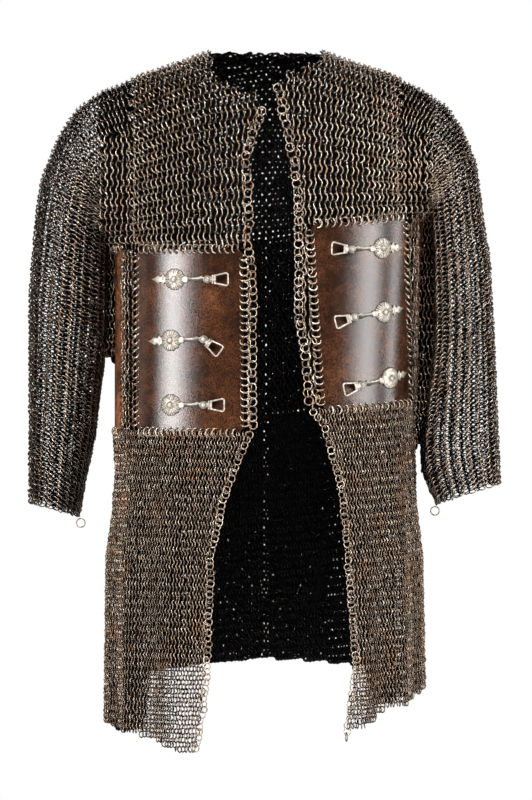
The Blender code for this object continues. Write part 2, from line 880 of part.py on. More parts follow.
def make_clasp(key, finish):
    """One clasp with its rivet, pivot stud and loop. Returns where its rivet goes through."""
    side = key.split("_")[0]
    tilt, droop, with_finial, fluted = clasps[key]
    seat = Seat(side, *disc_shares[key], tilt)
    mesh = clasp_shape("clasp_" + key, with_finial, fluted)
    for vertex in mesh.vertices:
        vertex.co = seat.point(*vertex.co)
    if side == "left":
        mesh.flip_normals()
    new_object("clasp_" + key, mesh, finish)
    under, over = -plate_thickness - seat_gap, disc_height + seat_gap
    rivet = [
        (wide * rivet_head_radius, under - high * rivet_head_height) for wide, high in peened_shares
    ]
    rivet += [(rivet_radius, under), (rivet_radius, over)]
    rivet += [(wide * rivet_head_radius, over + high * rivet_head_height) for wide, high in dome_shares]
    at_disc = seat.frame(0, 0)
    turned_pin("rivet_" + key, rivet, 8, finish, at_disc)
    eye_low = arm_height + seat_gap
    eye_high = eye_low + eye_height
    stud = [
        (stud_head_radius * stud_foot_share, seat_gap),
        (stud_head_radius * stud_foot_share, pad_lift - seat_gap),
        (stud_radius, pad_lift - seat_gap),
        (stud_radius, eye_high + seat_gap),
        (stud_head_radius, eye_high + seat_gap),
        (stud_head_radius * stud_top_share, eye_high + stud_head_height),
    ]
    at_pivot = seat.frame(arm_reach, 0)
    turned_pin("pivot_" + key, stud, 6, finish, at_pivot)
    hanging = seat.frame(arm_reach, math.radians(droop))
    loop_object("loop_" + key, finish, hanging, (eye_low + eye_high) / 2)
    return side, (at_disc[0], at_disc[3])


class Side:
    """The lines that bound the pieces of one side. Angles are read at a height, heights at an angle."""

    def __init__(self, side):
        self.side = side
        self.trim = joint_gap / chest_half_depth

    def edge(self, z):
        return angle_at(self.side, edge_out(self.side, z), z)

    def inner(self, z):
        return plate_edge_angle(self.side, z, 0) - self.trim

    def outer(self, z):
        return plate_edge_angle(self.side, z, 1) + self.trim

    def flank_front(self, z):
        return self.outer(z) + math.pi * strip_share - 2 * self.trim

    def flank_back(self, z):
        return self.outer(z) + math.pi * (strip_share + side_plate_share)

    def skirt_front(self, z):
        return self.flank_back(waist_z(self.side))

    def skirt_back(self, z):
        return self.skirt_front(z) - self.trim

    def centre_back(self, z):
        return math.pi

    def top(self, angle):
        return plate_line(self.side, angle, 0)

    def bottom(self, angle):
        return plate_line(self.side, angle, 1)

    def skirt_top(self, angle):
        return self.bottom(angle) - joint_gap

    def back_top(self, angle):
        return back_line(self.side, angle, 0)

    def back_waist(self, angle):
        return back_line(self.side, angle, 1)

    def back_skirt_top(self, angle):
        return self.back_waist(angle) - joint_gap

    def hem(self, angle):
        return -shirt_length * read(hem_shares[self.side], angle / math.pi)


def make_plates(side, finish, pins):
    """The front plate and the side plate. Returns both with their holes and rings."""
    front = Plate(side, False, hole_pitch)
    flank = Plate(side, True, side_pitch)
    plate_object(f"front_plate_{side}", front, 14, band_rows, finish, pins)
    plate_object(f"side_plate_{side}", flank, 5, band_rows, finish)
    return front, flank


def make_front_mail(side, lines, front, flank, finish):
    """The mail of the chest, along the front edge and between the two plates."""
    sheet(f"chest_mail_{side}", chest_rows(side, 8, 8), finish, front.rings["top"])
    edge = torso_rows(side, lines.edge, lines.inner, lines.top, lines.bottom, 1, band_rows)
    sheet(f"front_edge_mail_{side}", edge, finish, front.rings["inner"])
    strip = torso_rows(side, lines.outer, lines.flank_front, lines.top, lines.bottom, 2, band_rows)
    sheet(f"strip_mail_{side}", strip, finish, front.rings["outer"] + flank.rings["inner"])


def make_sleeve(side, finish):
    """A sleeve with the loose ring at the inner corner of its cuff."""
    link = Link(sleeve(side, sleeve_runs(side), 1.0, -1), Vector((0, 1, 0)))
    sheet(f"sleeve_mail_{side}", sleeve_rows(side, 8, 12), finish, [link.carrier])
    loose_ring(f"loose_ring_cuff_{side}", link, finish)


def make_skirt(side, lines, front, flank, finish):
    """A front skirt, round to the back edge of the side plate. A loose ring hangs from the left
    one's front corner."""
    rows = torso_rows(side, lines.edge, lines.skirt_back, lines.skirt_top, lines.hem, 14, 6)
    rings = front.rings["bottom"] + flank.rings["bottom"]
    if side == "left":
        link = Link(rows[-1][0], rows[-1][1] - rows[-1][0])
        rings.append(link.carrier)
        loose_ring("loose_ring_hem_left", link, finish)
    sheet(f"skirt_mail_{side}", rows, finish, rings)


def loose_ring(name, link, finish):
    new_object(name, ring_mesh(name, [link.loose], loose_steps, loose_sides), finish)


def make_back(sides, flanks, finish):
    """The mail of the back from the shoulders to the hem, in one piece from side to side."""
    sheet("upper_back_mail", upper_back_rows(14, 8), finish)
    lower = [
        torso_rows(
            at.side, at.flank_back, at.centre_back, at.back_top, at.back_waist, 7, band_rows
        )
        for at in sides
    ]
    rings = [ring for flank in flanks for ring in flank.rings["outer"]]
    sheet("lower_back_mail", joined(lower), finish, rings)
    skirt = [
        torso_rows(at.side, at.skirt_front, at.centre_back, at.back_skirt_top, at.hem, 8, 6)
        for at in sides
    ]
    sheet("back_skirt_mail", joined(skirt), finish)


def main():
    clear_scene()
    mail = material("mail", (0.16, 0.13, 0.11), 0.9, 0.5)
    russet = material("russet_plate", (0.20, 0.10, 0.06), 0.85, 0.4)
    silver = material("clasp_metal", (0.62, 0.58, 0.53), 0.9, 0.35)
    pins = {"right": [], "left": []}
    for key in clasps:
        side, pin = make_clasp(key, silver)
        pins[side].append(pin)
    sides, flanks = [], []
    for side in signs:
        lines = Side(side)
        front, flank = make_plates(side, russet, pins[side])
        make_front_mail(side, lines, front, flank, mail)
        make_sleeve(side, mail)
        make_skirt(side, lines, front, flank, mail)
        sides.append(lines)
        flanks.append(flank)
    make_back(sides, flanks, mail)


main()
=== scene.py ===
import contextlib
import math

import bpy
import numpy as np
from mathutils import Matrix, Vector


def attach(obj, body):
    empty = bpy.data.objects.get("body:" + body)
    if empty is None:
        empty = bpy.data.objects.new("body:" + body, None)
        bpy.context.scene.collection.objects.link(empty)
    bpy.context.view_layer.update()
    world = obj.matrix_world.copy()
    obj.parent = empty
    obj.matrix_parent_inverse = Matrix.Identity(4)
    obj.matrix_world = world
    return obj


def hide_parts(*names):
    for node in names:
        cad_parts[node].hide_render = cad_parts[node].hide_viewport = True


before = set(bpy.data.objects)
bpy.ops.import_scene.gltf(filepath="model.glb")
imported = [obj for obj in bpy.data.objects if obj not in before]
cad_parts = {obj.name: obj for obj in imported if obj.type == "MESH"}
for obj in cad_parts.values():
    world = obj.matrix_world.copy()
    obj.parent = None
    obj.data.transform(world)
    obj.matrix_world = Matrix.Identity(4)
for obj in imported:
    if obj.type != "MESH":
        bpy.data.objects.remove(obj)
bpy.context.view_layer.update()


# Camera, light and floor
#
# The shirt hangs free, seen square from the front through a long lens, in plain soft studio light
# over a plain pale floor.

metres_per_pixel = 0.001127
picture_height = 800
middle_height = -0.3832
camera_away = 14.0
scale_depth = 0.09
lens_sensor = 24.0
# Each soft box as its place, its width and height, and its power
soft_boxes = {
    "tall_box_left": ((-1.89, -1.93, -0.35), (0.72, 2.8), 66),
    "tall_box_right": ((2.10, -1.64, -0.35), (0.95, 2.8), 44),
    "edge_box_right": ((2.60, -0.36, -0.35), (0.32, 2.6), 18),
    "edge_box_left": ((-2.60, -0.50, -0.35), (0.30, 2.6), 2),
    "high_box": ((0.0, -1.9, 2.1), (1.8, 1.0), 56),
    "back_box": ((0.3, 2.8, 0.9), (1.8, 1.8), 26),
}
room_colour, room_strength = (0.95, 0.97, 1.0, 1), 0.035
paper_colour, paper_strength = (1.0, 1.0, 1.0, 1), 1.0
floor_radius = 1.2
floor_height = -1.0

bpy.ops.object.camera_add(
    location=(0, -camera_away, middle_height), rotation=(math.radians(90), 0, 0)
)
camera = bpy.context.object
camera.name = "front_camera"
camera.data.sensor_fit = "VERTICAL"
camera.data.sensor_height = lens_sensor
camera.data.lens = lens_sensor * (camera_away - scale_depth) / (picture_height * metres_per_pixel)
bpy.context.scene.camera = camera
bpy.context.scene.view_settings.view_transform = "Standard"

for name, (place, size, power) in soft_boxes.items():
    bpy.ops.object.light_add(type="AREA", location=place)
    box = bpy.context.object
    box.name = name
    box.data.shape = "RECTANGLE"
    box.data.size, box.data.size_y = size
    box.data.energy = power
    aim = Vector((0, 0, middle_height)) - Vector(place)
    box.rotation_euler = aim.to_track_quat("-Z", "Y").to_euler()

studio = bpy.data.worlds.new("studio")
bpy.context.scene.world = studio
studio.use_nodes = True
links, nodes = studio.node_tree.links, studio.node_tree.nodes
nodes.clear()
ray = nodes.new("ShaderNodeLightPath")
choose = nodes.new("ShaderNodeMixShader")
out = nodes.new("ShaderNodeOutputWorld")
links.new(ray.outputs["Is Camera Ray"], choose.inputs[0])
for slot, colour, strength in ((1, room_colour, room_strength), (2, paper_colour, paper_strength)):
    glow = nodes.new("ShaderNodeBackground")
    glow.inputs["Color"].default_value = colour
    glow.inputs["Strength"].default_value = strength
    links.new(glow.outputs[0], choose.inputs[slot])
links.new(choose.outputs[0], out.inputs["Surface"])

bpy.ops.mesh.primitive_circle_add(
    vertices=96, radius=floor_radius, fill_type="NGON", location=(0, 0, floor_height)
)
floor = bpy.context.object
floor.name = "floor"
floor_paint = bpy.data.materials.new("floor_paint")
floor_paint.use_nodes = True
shader = floor_paint.node_tree.nodes["Principled BSDF"]
shader.inputs["Base Color"].default_value = (0.86, 0.86, 0.85, 1)
shader.inputs["Roughness"].default_value = 0.85
floor.data.materials.append(floor_paint)


# Mail of the chest and the upper back
#
# Steel rings, each linked through four others, in rows that lean to and fro and lie level round the
# trunk. The mail runs from the armpits over the shoulders, is cut out round the neck and open in
# front, and carries on into the sleeves without a seam.

shirt_length = 0.800
half_span = 0.267
chest_half_depth = 0.112
fold_depth = 0.0055
fold_count = 7
armhole_out = 0.150
armpit_spread = 0.008
mail_thickness = 0.004
joint_gap = 0.0008
sleeve_half_depth = 0.062
torso_roundness = 2.4
yoke_roundness = 3.0
sleeve_roundness = 2.2
closed_share = 0.25
neck_point_share = 0.24
signs = {"right": -1.0, "left": 1.0}

large_radius = 0.00490
large_wire = 0.00094
flattened = 0.72
heavy_radius = 0.0038
heavy_wire = 0.0026
heavy_flattened = 0.36
lean = math.radians(56)
heavy_lean = math.radians(20)
lean_spread = math.radians(6)
place_spread = 0.00030
shade_spread = 0.2
# How the painted shade and grime on each ring's inner half fade out, and how far they lap past its middle
shade_grime_fade = 0.42
shade_grime_lap = 0.12
face_share = 0.3
chest_shade = 0.62
chest_rows = 32
back_rows = 46
row_shift = 0.2
chest_half_count = 26
chest_samples = 90
rise_samples = 240
top_clear = 0.6 * large_radius
edge_cover = 0.4 * large_radius
panel_out = 0.186
panel_top = -0.085
panel_count = 6
panel_columns = 14
panel_near = 4
sleeve_start = 0.004
sleeve_root_end = 0.45
root_lines = 60
root_turns = 120
middle_out = 0.0001
level_weight = 0.3
flat_reach = 0.0005
dice = np.random.default_rng(7)

# Shares of the length down, against the half width of the trunk and its depth
side_shares = {
    "right": [(0.0, 0.640), (0.52, 0.640), (0.58, 0.628), (0.64, 0.640), (0.70, 0.664), (1.0, 0.662)],
    "left": [(0.0, 0.667), (0.22, 0.667), (0.50, 0.622), (0.62, 0.624), (0.70, 0.650), (1.0, 0.656)],
}
depth_shares = [(0.0, 1.0), (0.22, 1.0), (0.53, 0.93), (0.66, 0.96), (1.0, 1.06)]
# The corners of each front plate: high inner, high outer, low inner and low outer, down and out
plate_shares = {
    "right": [(0.2675, 0.0975), (0.2675, 0.547), (0.524, 0.093), (0.522, 0.547)],
    "left": [(0.2325, 0.186), (0.221, 0.588), (0.4925, 0.236), (0.481, 0.612)],
}
# The shoulder's ridge and the sleeve's outer and inner lines, out and down
ridge_shares = [(0.0, -0.028), (0.24, -0.013), (0.36, 0.002), (0.52, 0.019), (0.562, 0.025)]
outer_shares = {
    "right": [
        (0.562, 0.025), (0.697, 0.042), (0.80, 0.066), (0.878, 0.105),
        (0.948, 0.165), (0.974, 0.22), (1.0, 0.33), (1.0, 0.622),
    ],
    "left": [
        (0.562, 0.025), (0.670, 0.042), (0.765, 0.063), (0.835, 0.098), (0.888, 0.145),
        (0.912, 0.21), (0.945, 0.28), (0.965, 0.40), (0.989, 0.595),
    ],
}
inner_shares = {
    "right": [(0.668, 0.30), (0.676, 0.40), (0.698, 0.46), (0.722, 0.53), (0.762, 0.59), (0.787, 0.641)],
    "left": [
        (0.710, 0.27), (0.710, 0.40), (0.690, 0.46), (0.668, 0.51),
        (0.655, 0.55), (0.662, 0.58), (0.690, 0.605), (0.718, 0.624),
    ],
}
# The neckline, out and down, and the open front edge, down and out
neckline_shares = {
    "right": [(0.013, 0.069), (0.05, 0.047), (0.225, 0.019), (0.24, -0.010)],
    "left": [(0.046, 0.035), (0.084, 0.019), (0.232, -0.004), (0.24, -0.012)],
}
back_neck_shares = [(0.0, -0.016), (0.21, -0.016), (0.24, -0.013)]
edge_shares = {
    "right": [
        (0.069, 0.013), (0.09, 0.036), (0.14, 0.090), (0.17, 0.072), (0.26, 0.072), (0.30, 0.054),
        (0.52, 0.054), (0.55, 0.100), (0.63, 0.187), (0.70, 0.232), (0.88, 0.256), (0.98, 0.300),
    ],
    "left": [
        (0.035, 0.046), (0.09, 0.080), (0.14, 0.112), (0.19, 0.134), (0.36, 0.134), (0.42, 0.163),
        (0.49, 0.180), (0.52, 0.248), (0.60, 0.316), (0.69, 0.341), (0.85, 0.370), (0.95, 0.337),
    ],
}


def read(shares, at):
    places, values = zip(*shares)
    return float(np.interp(at, places, values))


def between(first, last, share):
    return first + (last - first) * share


def power(value, exponent):
    return math.copysign(abs(value) ** exponent, value)


def half_width(side, z):
    return half_span * read(side_shares[side], -z / shirt_length)


def half_depth(z):
    return chest_half_depth * read(depth_shares, -z / shirt_length)


def angle_at(side, out, z):
    share = min(max(out / half_width(side, z), 0.0), 1.0)
    return math.asin(share ** (torso_roundness / 2))


def armpit_z(side):
    return -shirt_length * plate_shares[side][1][0]


def armhole_level(x):
    """The height at which the trunk ends, sloping from one armpit to the other."""
    return between(armpit_z("right"), armpit_z("left"), (x / armhole_out + 1) / 2)


def fold(angle, z):
    start = -shirt_length * plate_shares["right"][2][0]
    deep = min(max((start - z) / (shirt_length + start), 0.0), 1.0)
    return fold_depth * deep * math.sin(2 * fold_count * angle)


def torso(side, angle, z):
    """A point round the trunk, at angle 0 in the middle of the front and pi in the middle of the back."""
    bend = 2 / torso_roundness
    out = half_width(side, z) * power(math.sin(angle), bend)
    deep = half_depth(z) * power(math.cos(angle), bend)
    spread = fold(angle, z)
    return Vector(
        (signs[side] * (out + spread * math.sin(angle)), -deep - spread * math.cos(angle), z)
    )


def oval(share, exponent):
    return max(1.0 - min(abs(share), 1.0) ** exponent, 0.0) ** (1 / exponent)


def ridge_z(out):
    return -shirt_length * read(ridge_shares, out / half_span)


def yoke(x, z, face):
    """A point of the chest (face -1) or of the upper back (face 1), up to the shoulder's ridge."""
    side = "right" if x < 0 else "left"
    level = armhole_level(x)
    low = min(z, level)
    deep = half_depth(low) * oval(x / half_width(side, low), torso_roundness)
    if z > level:
        deep *= oval((z - level) / (ridge_z(abs(x)) - level), yoke_roundness)
    return Vector((x, face * deep, z))


def plate_line(side, angle, edge):
    """The height of the front plate's top (0) or bottom (1) edge, carried on to both sides."""
    first, last = plate_shares[side][2 * edge : 2 * edge + 2]
    start = angle_at(side, first[1] * half_span, -first[0] * shirt_length)
    end = angle_at(side, last[1] * half_span, -last[0] * shirt_length)
    share = min(max((angle - start) / (end - start), 0.0), 1.0)
    return -shirt_length * between(first[0], last[0], share)


class Run:
    """A line through points, read by the share of its length."""

    def __init__(self, points):
        self.points = np.array(points)
        steps = np.linalg.norm(np.diff(self.points, axis=0), axis=1)
        self.places = np.concatenate([[0.0], np.cumsum(steps)]) / steps.sum()

    def at(self, share):
        return [float(np.interp(share, self.places, column)) for column in self.points.T]


def sleeve_runs(side):
    armpit = (half_width(side, armpit_z(side)) + armpit_spread, armpit_z(side) + 2 * mail_thickness)
    outer = [(out * half_span, -down * shirt_length) for out, down in outer_shares[side]]
    inner = [(out * half_span, -down * shirt_length) for out, down in inner_shares[side]]
    return Run(outer), Run([armpit] + inner)


def sleeve(side, runs, share, turn):
    """A point of the sleeve, from the armhole (share 0) to the cuff (1), and from its lower front edge
    (turn -1) over the ridge (0) to its lower back edge (1)."""
    outer, inner = runs
    top = Vector(outer.at(share))
    if share < closed_share:
        part = share / closed_share
        start = angle_at(side, armhole_out, armpit_z(side))
        edge = torso(side, between(start, math.pi / 2, part), armpit_z(side))
        lift = between(joint_gap, 2 * mail_thickness, part)
        low = Vector((abs(edge.x) + armpit_spread * part, edge.z + lift))
        reach = -edge.y
        deep = between(-torso(side, start, armpit_z(side)).y, sleeve_half_depth, part)
        bend = 2 / between(yoke_roundness, sleeve_roundness, part)
    else:
        low = Vector(inner.at((share - closed_share) / (1 - closed_share)))
        reach = 0.0
        deep = sleeve_half_depth
        bend = 2 / sleeve_roundness
    start = -math.acos(min(reach / deep, 1.0) ** (1 / bend)) if reach > flat_reach else -math.pi / 2
    low_share = power(math.sin(start), bend)
    centre = (low - top * low_share) / (1 - low_share)
    angle = between(math.pi / 2, start, abs(turn))
    flat = centre + (top - centre) * power(math.sin(angle), bend)
    away = deep * power(math.cos(angle), bend) if abs(turn) > 0 else 0.0
    return Vector((signs[side] * flat.x, math.copysign(away, turn), flat.y))


def edge_out(side, z):
    """How far from the centre the open front edge lies."""
    return half_span * read(edge_shares[side], -z / shirt_length)


def top_line(side, out, face):
    """The height of the shirt's top edge: the neckline, or past it the shoulder's ridge."""
    share = out / half_span
    if share > neck_point_share:
        return ridge_z(out) + large_radius
    table = neckline_shares[side] if face < 0 else back_neck_shares
    return -shirt_length * read(table, share)


class Finish:
    """A metal's material, laid on its shader layer by layer."""

    def __init__(self, name, metallic):
        self.material = bpy.data.materials.new(name)
        self.material.use_nodes = True
        self.nodes, self.links = self.material.node_tree.nodes, self.material.node_tree.links
        self.shader = self.nodes["Principled BSDF"]
        self.shader.inputs["Metallic"].default_value = metallic
        self.place = self.nodes.new("ShaderNodeTexCoord").outputs["Object"]

    def noise(self, scale, detail, roughness=0.5):
        node = self.nodes.new("ShaderNodeTexNoise")
        node.inputs["Scale"].default_value = scale
        node.inputs["Detail"].default_value = detail
        node.inputs["Roughness"].default_value = roughness
        self.links.new(self.place, node.inputs["Vector"])
        return node.outputs["Fac"]

    def attribute(self, name):
        node = self.nodes.new("ShaderNodeAttribute")
        node.attribute_name = name
        return node.outputs["Fac"]

    def ramp(self, value, stops):
        """Colours read by a value, from (place, colour) stops."""
        node = self.nodes.new("ShaderNodeValToRGB")
        steps = node.color_ramp.elements
        steps[0].position, steps[0].color = stops[0]
        steps[1].position, steps[1].color = stops[-1]
        for at, colour in stops[1:-1]:
            steps.new(at).color = colour
        self.links.new(value, node.inputs["Fac"])
        return node.outputs["Color"]

    def covered(self, under, colour, amount):
        """A colour laid over another, as far as the amount says."""
        node = self.nodes.new("ShaderNodeMix")
        node.data_type = "RGBA"
        node.inputs["B"].default_value = colour
        self.links.new(amount, node.inputs["Factor"])
        self.links.new(under, node.inputs["A"])
        return node.outputs["Result"]

    def times(self, first, second, amount):
        """Two colours multiplied."""
        node = self.nodes.new("ShaderNodeMix")
        node.data_type, node.blend_type = "RGBA", "MULTIPLY"
        node.inputs["Factor"].default_value = amount
        self.links.new(first, node.inputs["A"])
        self.links.new(second, node.inputs["B"])
        return node.outputs["Result"]

    def span(self, value, low, high, to_low, to_high):
        """A value stretched from one range to another."""
        node = self.nodes.new("ShaderNodeMapRange")
        for name, bound in (("From Min", low), ("From Max", high), ("To Min", to_low), ("To Max", to_high)):
            node.inputs[name].default_value = bound
        self.links.new(value, node.inputs["Value"])
        return node.outputs["Result"]

    def bump(self, height, strength, distance):
        node = self.nodes.new("ShaderNodeBump")
        node.inputs["Strength"].default_value = strength
        node.inputs["Distance"].default_value = distance
        self.links.new(height, node.inputs["Height"])
        self.into("Normal", node.outputs["Normal"])

    def into(self, socket, value):
        self.links.new(value, self.shader.inputs[socket])


steel = Finish("mail_steel", 0.92)
patches = steel.noise(26.0, 5.0, 0.62)
grain = steel.noise(900.0, 3.0)
ring_tones = steel.ramp(steel.attribute("ring_shade"), [
    (0.0, (0.26, 0.190, 0.142, 1)), (0.35, (0.50, 0.390, 0.300, 1)),
    (0.72, (0.80, 0.670, 0.550, 1)), (1.0, (0.98, 0.88, 0.77, 1)),
])
rust_share = steel.ramp(patches, [(0.50, (0, 0, 0, 1)), (0.74, (0.75, 0.75, 0.75, 1))])
rusted = steel.covered(ring_tones, (0.62, 0.33, 0.17, 1), rust_share)
pits = steel.ramp(grain, [(0.36, (0.42, 0.37, 0.33, 1)), (0.60, (1, 1, 1, 1))])
pitted = steel.times(rusted, pits, 0.55)
# Painted shade and grime: near black laid over the half of each ring that lies inside and over the inner
# face of the flat rings, for the shade between the rings as well as their grime
shaded_and_grimy = steel.covered(pitted, (0.010, 0.009, 0.009, 1), steel.attribute("shade_and_grime"))
steel.into("Base Color", shaded_and_grimy)
steel.into("Roughness", steel.span(patches, 0, 1, 0.13, 0.36))
steel.bump(grain, 0.35, 0.0002)


def added(primitive, **sizes):
    """A new primitive, with nothing else selected."""
    bpy.ops.object.select_all(action="DESELECT")
    primitive(**sizes)
    return bpy.context.object


@contextlib.contextmanager
def edit_mode():
    """Edit mode with all of the object selected, and back again."""
    bpy.ops.object.mode_set(mode="EDIT")
    bpy.ops.mesh.select_all(action="SELECT")
    yield
    bpy.ops.object.mode_set(mode="OBJECT")


def make_ring(radius, wire, flat, around=10, sides=3):
    """One ring, flattened as if by a hammer. Returns its points and faces."""
    ring = added(
        bpy.ops.mesh.primitive_torus_add,
        major_segments=around, minor_segments=sides, major_radius=radius, minor_radius=wire,
    )
    with edit_mode():
        bpy.ops.transform.resize(value=(1, 1, flat))
    points = np.array([vertex.co for vertex in ring.data.vertices])
    faces = np.array([list(face.vertices) for face in ring.data.polygons])
    bpy.data.objects.remove(ring, do_unlink=True)
    return points, faces


def even(lines, count):
    """Lines of points, each laid out again at even spacing."""
    laid = []
    for line in lines:
        reach = np.linalg.norm(np.diff(line[:, :3], axis=0), axis=1)
        reach = np.concatenate([[0.0], np.cumsum(reach)])
        at = np.linspace(0.0, reach[-1], count)
        laid.append(np.stack([np.interp(at, reach, column) for column in line.T], axis=1))
    return np.array(laid)


def sampled(grid, v, u):
    """Values between the points of a grid, at shares v down it and u across it."""
    rows, columns = grid.shape[0] - 1, grid.shape[1] - 1
    v, u = np.clip(v, 0, 1) * rows, np.clip(u, 0, 1) * columns
    row, column = np.minimum(v.astype(int), rows - 1), np.minimum(u.astype(int), columns - 1)
    down, across = (v - row)[:, None], (u - column)[:, None]
    first = grid[row, column] * (1 - across) + grid[row, column + 1] * across
    second = grid[row + 1, column] * (1 - across) + grid[row + 1, column + 1] * across
    return first * (1 - down) + second * down


class Field:
    """A stretch of mail: rows and columns of ring places on a grid of points."""

    def __init__(self, grid, v, u, odd, away):
        self.data = sampled(grid, v, u)
        self.places = self.data[:, :3]
        along = sampled(np.gradient(grid[:, :, :3], axis=1), v, u)
        across = sampled(np.gradient(grid[:, :, :3], axis=0), v, u)
        self.along = along / np.linalg.norm(along, axis=1, keepdims=True)
        normal = np.cross(self.along, across)
        normal /= np.linalg.norm(normal, axis=1, keepdims=True)
        facing = np.sign((normal * away(self.places)).sum(axis=1))
        self.normal = normal * np.where(facing == 0, 1, facing)[:, None]
        self.odd = odd

    def only(self, keep):
        chosen = object.__new__(Field)
        for name in ("data", "places", "along", "normal", "odd"):
            setattr(chosen, name, getattr(self, name)[keep])
        return chosen


def rows_and_columns(rows, columns):
    """Shares down and across for rings in rows, every second row half a ring further on."""
    row, column = np.divmod(np.arange(rows * columns), columns)
    odd = row % 2
    return (row + 0.5) / rows, (column + 0.25 + 0.5 * odd) / columns, odd


def ring_piece(name, corners, faces, shade_and_grime=None, shade=0.5):
    """A mesh of many rings, each with its own tone of steel, and with grime and painted shade on its inner
    side.
    """
    count, each = corners.shape[:2]
    if shade_and_grime is None:
        shade_and_grime = np.zeros(count * each)
    shades = np.clip(dice.normal(shade, shade_spread, count), 0, 1)
    mesh = bpy.data.meshes.new(name)
    mesh.vertices.add(count * each)
    mesh.vertices.foreach_set("co", corners.astype(np.float32).ravel())
    sides = faces.shape[1]
    loops = (faces[None] + (np.arange(count) * each)[:, None, None]).reshape(-1)
    mesh.loops.add(len(loops))
    mesh.loops.foreach_set("vertex_index", loops.astype(np.int32))
    mesh.polygons.add(count * len(faces))
    mesh.polygons.foreach_set("loop_start", np.arange(0, len(loops), sides, dtype=np.int32))
    mesh.update(calc_edges=True)
    for kind, values in (("ring_shade", np.repeat(shades, each)), ("shade_and_grime", shade_and_grime)):
        mark = mesh.attributes.new(kind, "FLOAT", "POINT")
        mark.data.foreach_set("value", values.astype(np.float32))
    mesh.shade_smooth()
    mesh.materials.append(steel.material)
    piece = bpy.data.objects.new(name, mesh)
    bpy.context.collection.objects.link(piece)
    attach(piece, "shirt")
    return piece


def woven(name, fields, ring, tilt=lean, shade_grime_to=0.05, shade=0.5, node=None):
    """One piece of mail: a copy of the ring at each place, every second row leaning the other way.
    Grime and painted shade darken the half of each ring that lies inside, or the inner face of rings that
    lie flat."""
    points, faces = ring
    places, along, normal, odd = (
        np.concatenate([getattr(field, kind) for field in fields])
        for kind in ("places", "along", "normal", "odd")
    )
    count = len(places)
    places = places + dice.normal(0, place_spread, (count, 3))
    turn = np.where(odd > 0, tilt, -tilt) + dice.normal(0, lean_spread, count)
    nod = dice.normal(0, lean_spread, count)
    across = np.cross(normal, along)
    turn_cos, turn_sin = np.cos(turn)[:, None], np.sin(turn)[:, None]
    nod_cos, nod_sin = np.cos(nod)[:, None], np.sin(nod)[:, None]
    face = normal * turn_cos - along * turn_sin
    x_axis = along * turn_cos + normal * turn_sin
    y_axis = across * nod_cos + face * nod_sin
    z_axis = face * nod_cos - across * nod_sin
    corners = places[:, None] + points @ np.stack([x_axis, y_axis, z_axis], axis=1)
    # Painted shade and grime: the inner face of flat rings, and the deeper half of leaning rings, are
    # painted near black
    if tilt == heavy_lean:
        inward = np.tile(points[:, 2] < face_share * points[:, 2].max(), count)
    else:
        depth = (points[None, :, 0] * turn_sin) / (points[:, 0].max() * math.sin(tilt))
        inward = np.clip((shade_grime_to + shade_grime_lap - depth) / shade_grime_fade, 0, 1).ravel()
    piece = ring_piece(name, corners, faces, inward, shade)
    if node:
        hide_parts(node)


def from_middle(places):
    return places * (1, 1, level_weight)


def body_field(side, face, rows):
    """Half of the chest (face -1) or of the upper back (face 1). Returns its grid and its field."""
    columns = []
    for share in np.linspace(0, 1, chest_samples):
        out = share * armhole_out
        x = signs[side] * max(out, middle_out)
        low = armhole_level(x)
        if face < 0:
            low = plate_line(side, angle_at(side, out, armpit_z(side)), 0)
        rise = np.sin(np.linspace(0, math.pi / 2, rise_samples)) ** (2 / yoke_roundness)
        points = [yoke(x, between(low, ridge_z(out), float(step)), face) for step in rise]
        columns.append(np.array([(*point, out) for point in points]))
    grid = even(columns, chest_samples).transpose(1, 0, 2)
    grid = even(grid, chest_samples)
    v, u, odd = rows_and_columns(rows, chest_half_count)
    field = Field(grid, v + row_shift / rows, u, odd, from_middle)
    z, out = field.places[:, 2], field.data[:, 3]
    keep = z < np.array([top_line(side, one, face) for one in out]) - top_clear
    if face < 0:
        keep &= out > np.array([edge_out(side, one) for one in z]) + edge_cover
    return grid, field.only(keep)


large_ring = make_ring(large_radius, large_wire, flattened)
heavy_ring = make_ring(heavy_radius, heavy_wire, heavy_flattened)

for side in signs:
    grid, field = body_field(side, -1, chest_rows)
    woven(f"mail_chest_{side}", [field], large_ring, shade=chest_shade, node=f"chest_mail_{side}")
    runs = sleeve_runs(side)
    root = np.array([
        sleeve(side, runs, float(share), float(turn))
        for share in np.linspace(sleeve_start, sleeve_root_end, root_lines)
        for turn in np.linspace(-1, 0, root_turns)
    ])
    columns = []
    for x in np.linspace(armhole_out, panel_out, panel_columns):
        column = grid[:, -1, :3].copy()
        column[:, 0] = signs[side] * x
        apart = (root[None, :, 0] - column[:, None, 0]) ** 2 + (root[None, :, 2] - column[:, None, 2]) ** 2
        column[:, 1] = root[np.argsort(apart, axis=1)[:, :panel_near], 1].mean(axis=1)
        columns.append(column)
    v, u, odd = rows_and_columns(chest_rows, panel_count)
    panel_grid = np.array(columns).transpose(1, 0, 2)
    panel = Field(panel_grid, v + row_shift / chest_rows, u, odd, from_middle)
    woven(f"mail_chest_side_{side}", [panel.only(panel.places[:, 2] < panel_top)], large_ring)

halves = [body_field(side, 1, back_rows)[1] for side in signs]
woven("mail_upper_back", halves, heavy_ring, heavy_lean, node="upper_back_mail")


# Sleeves
#
# Elbow-length tubes of the same steel rings, whose rows run from the shoulder to the cuff, drawn
# closer under the arm. Mail linked on both sides fills the angle between each sleeve and the trunk.

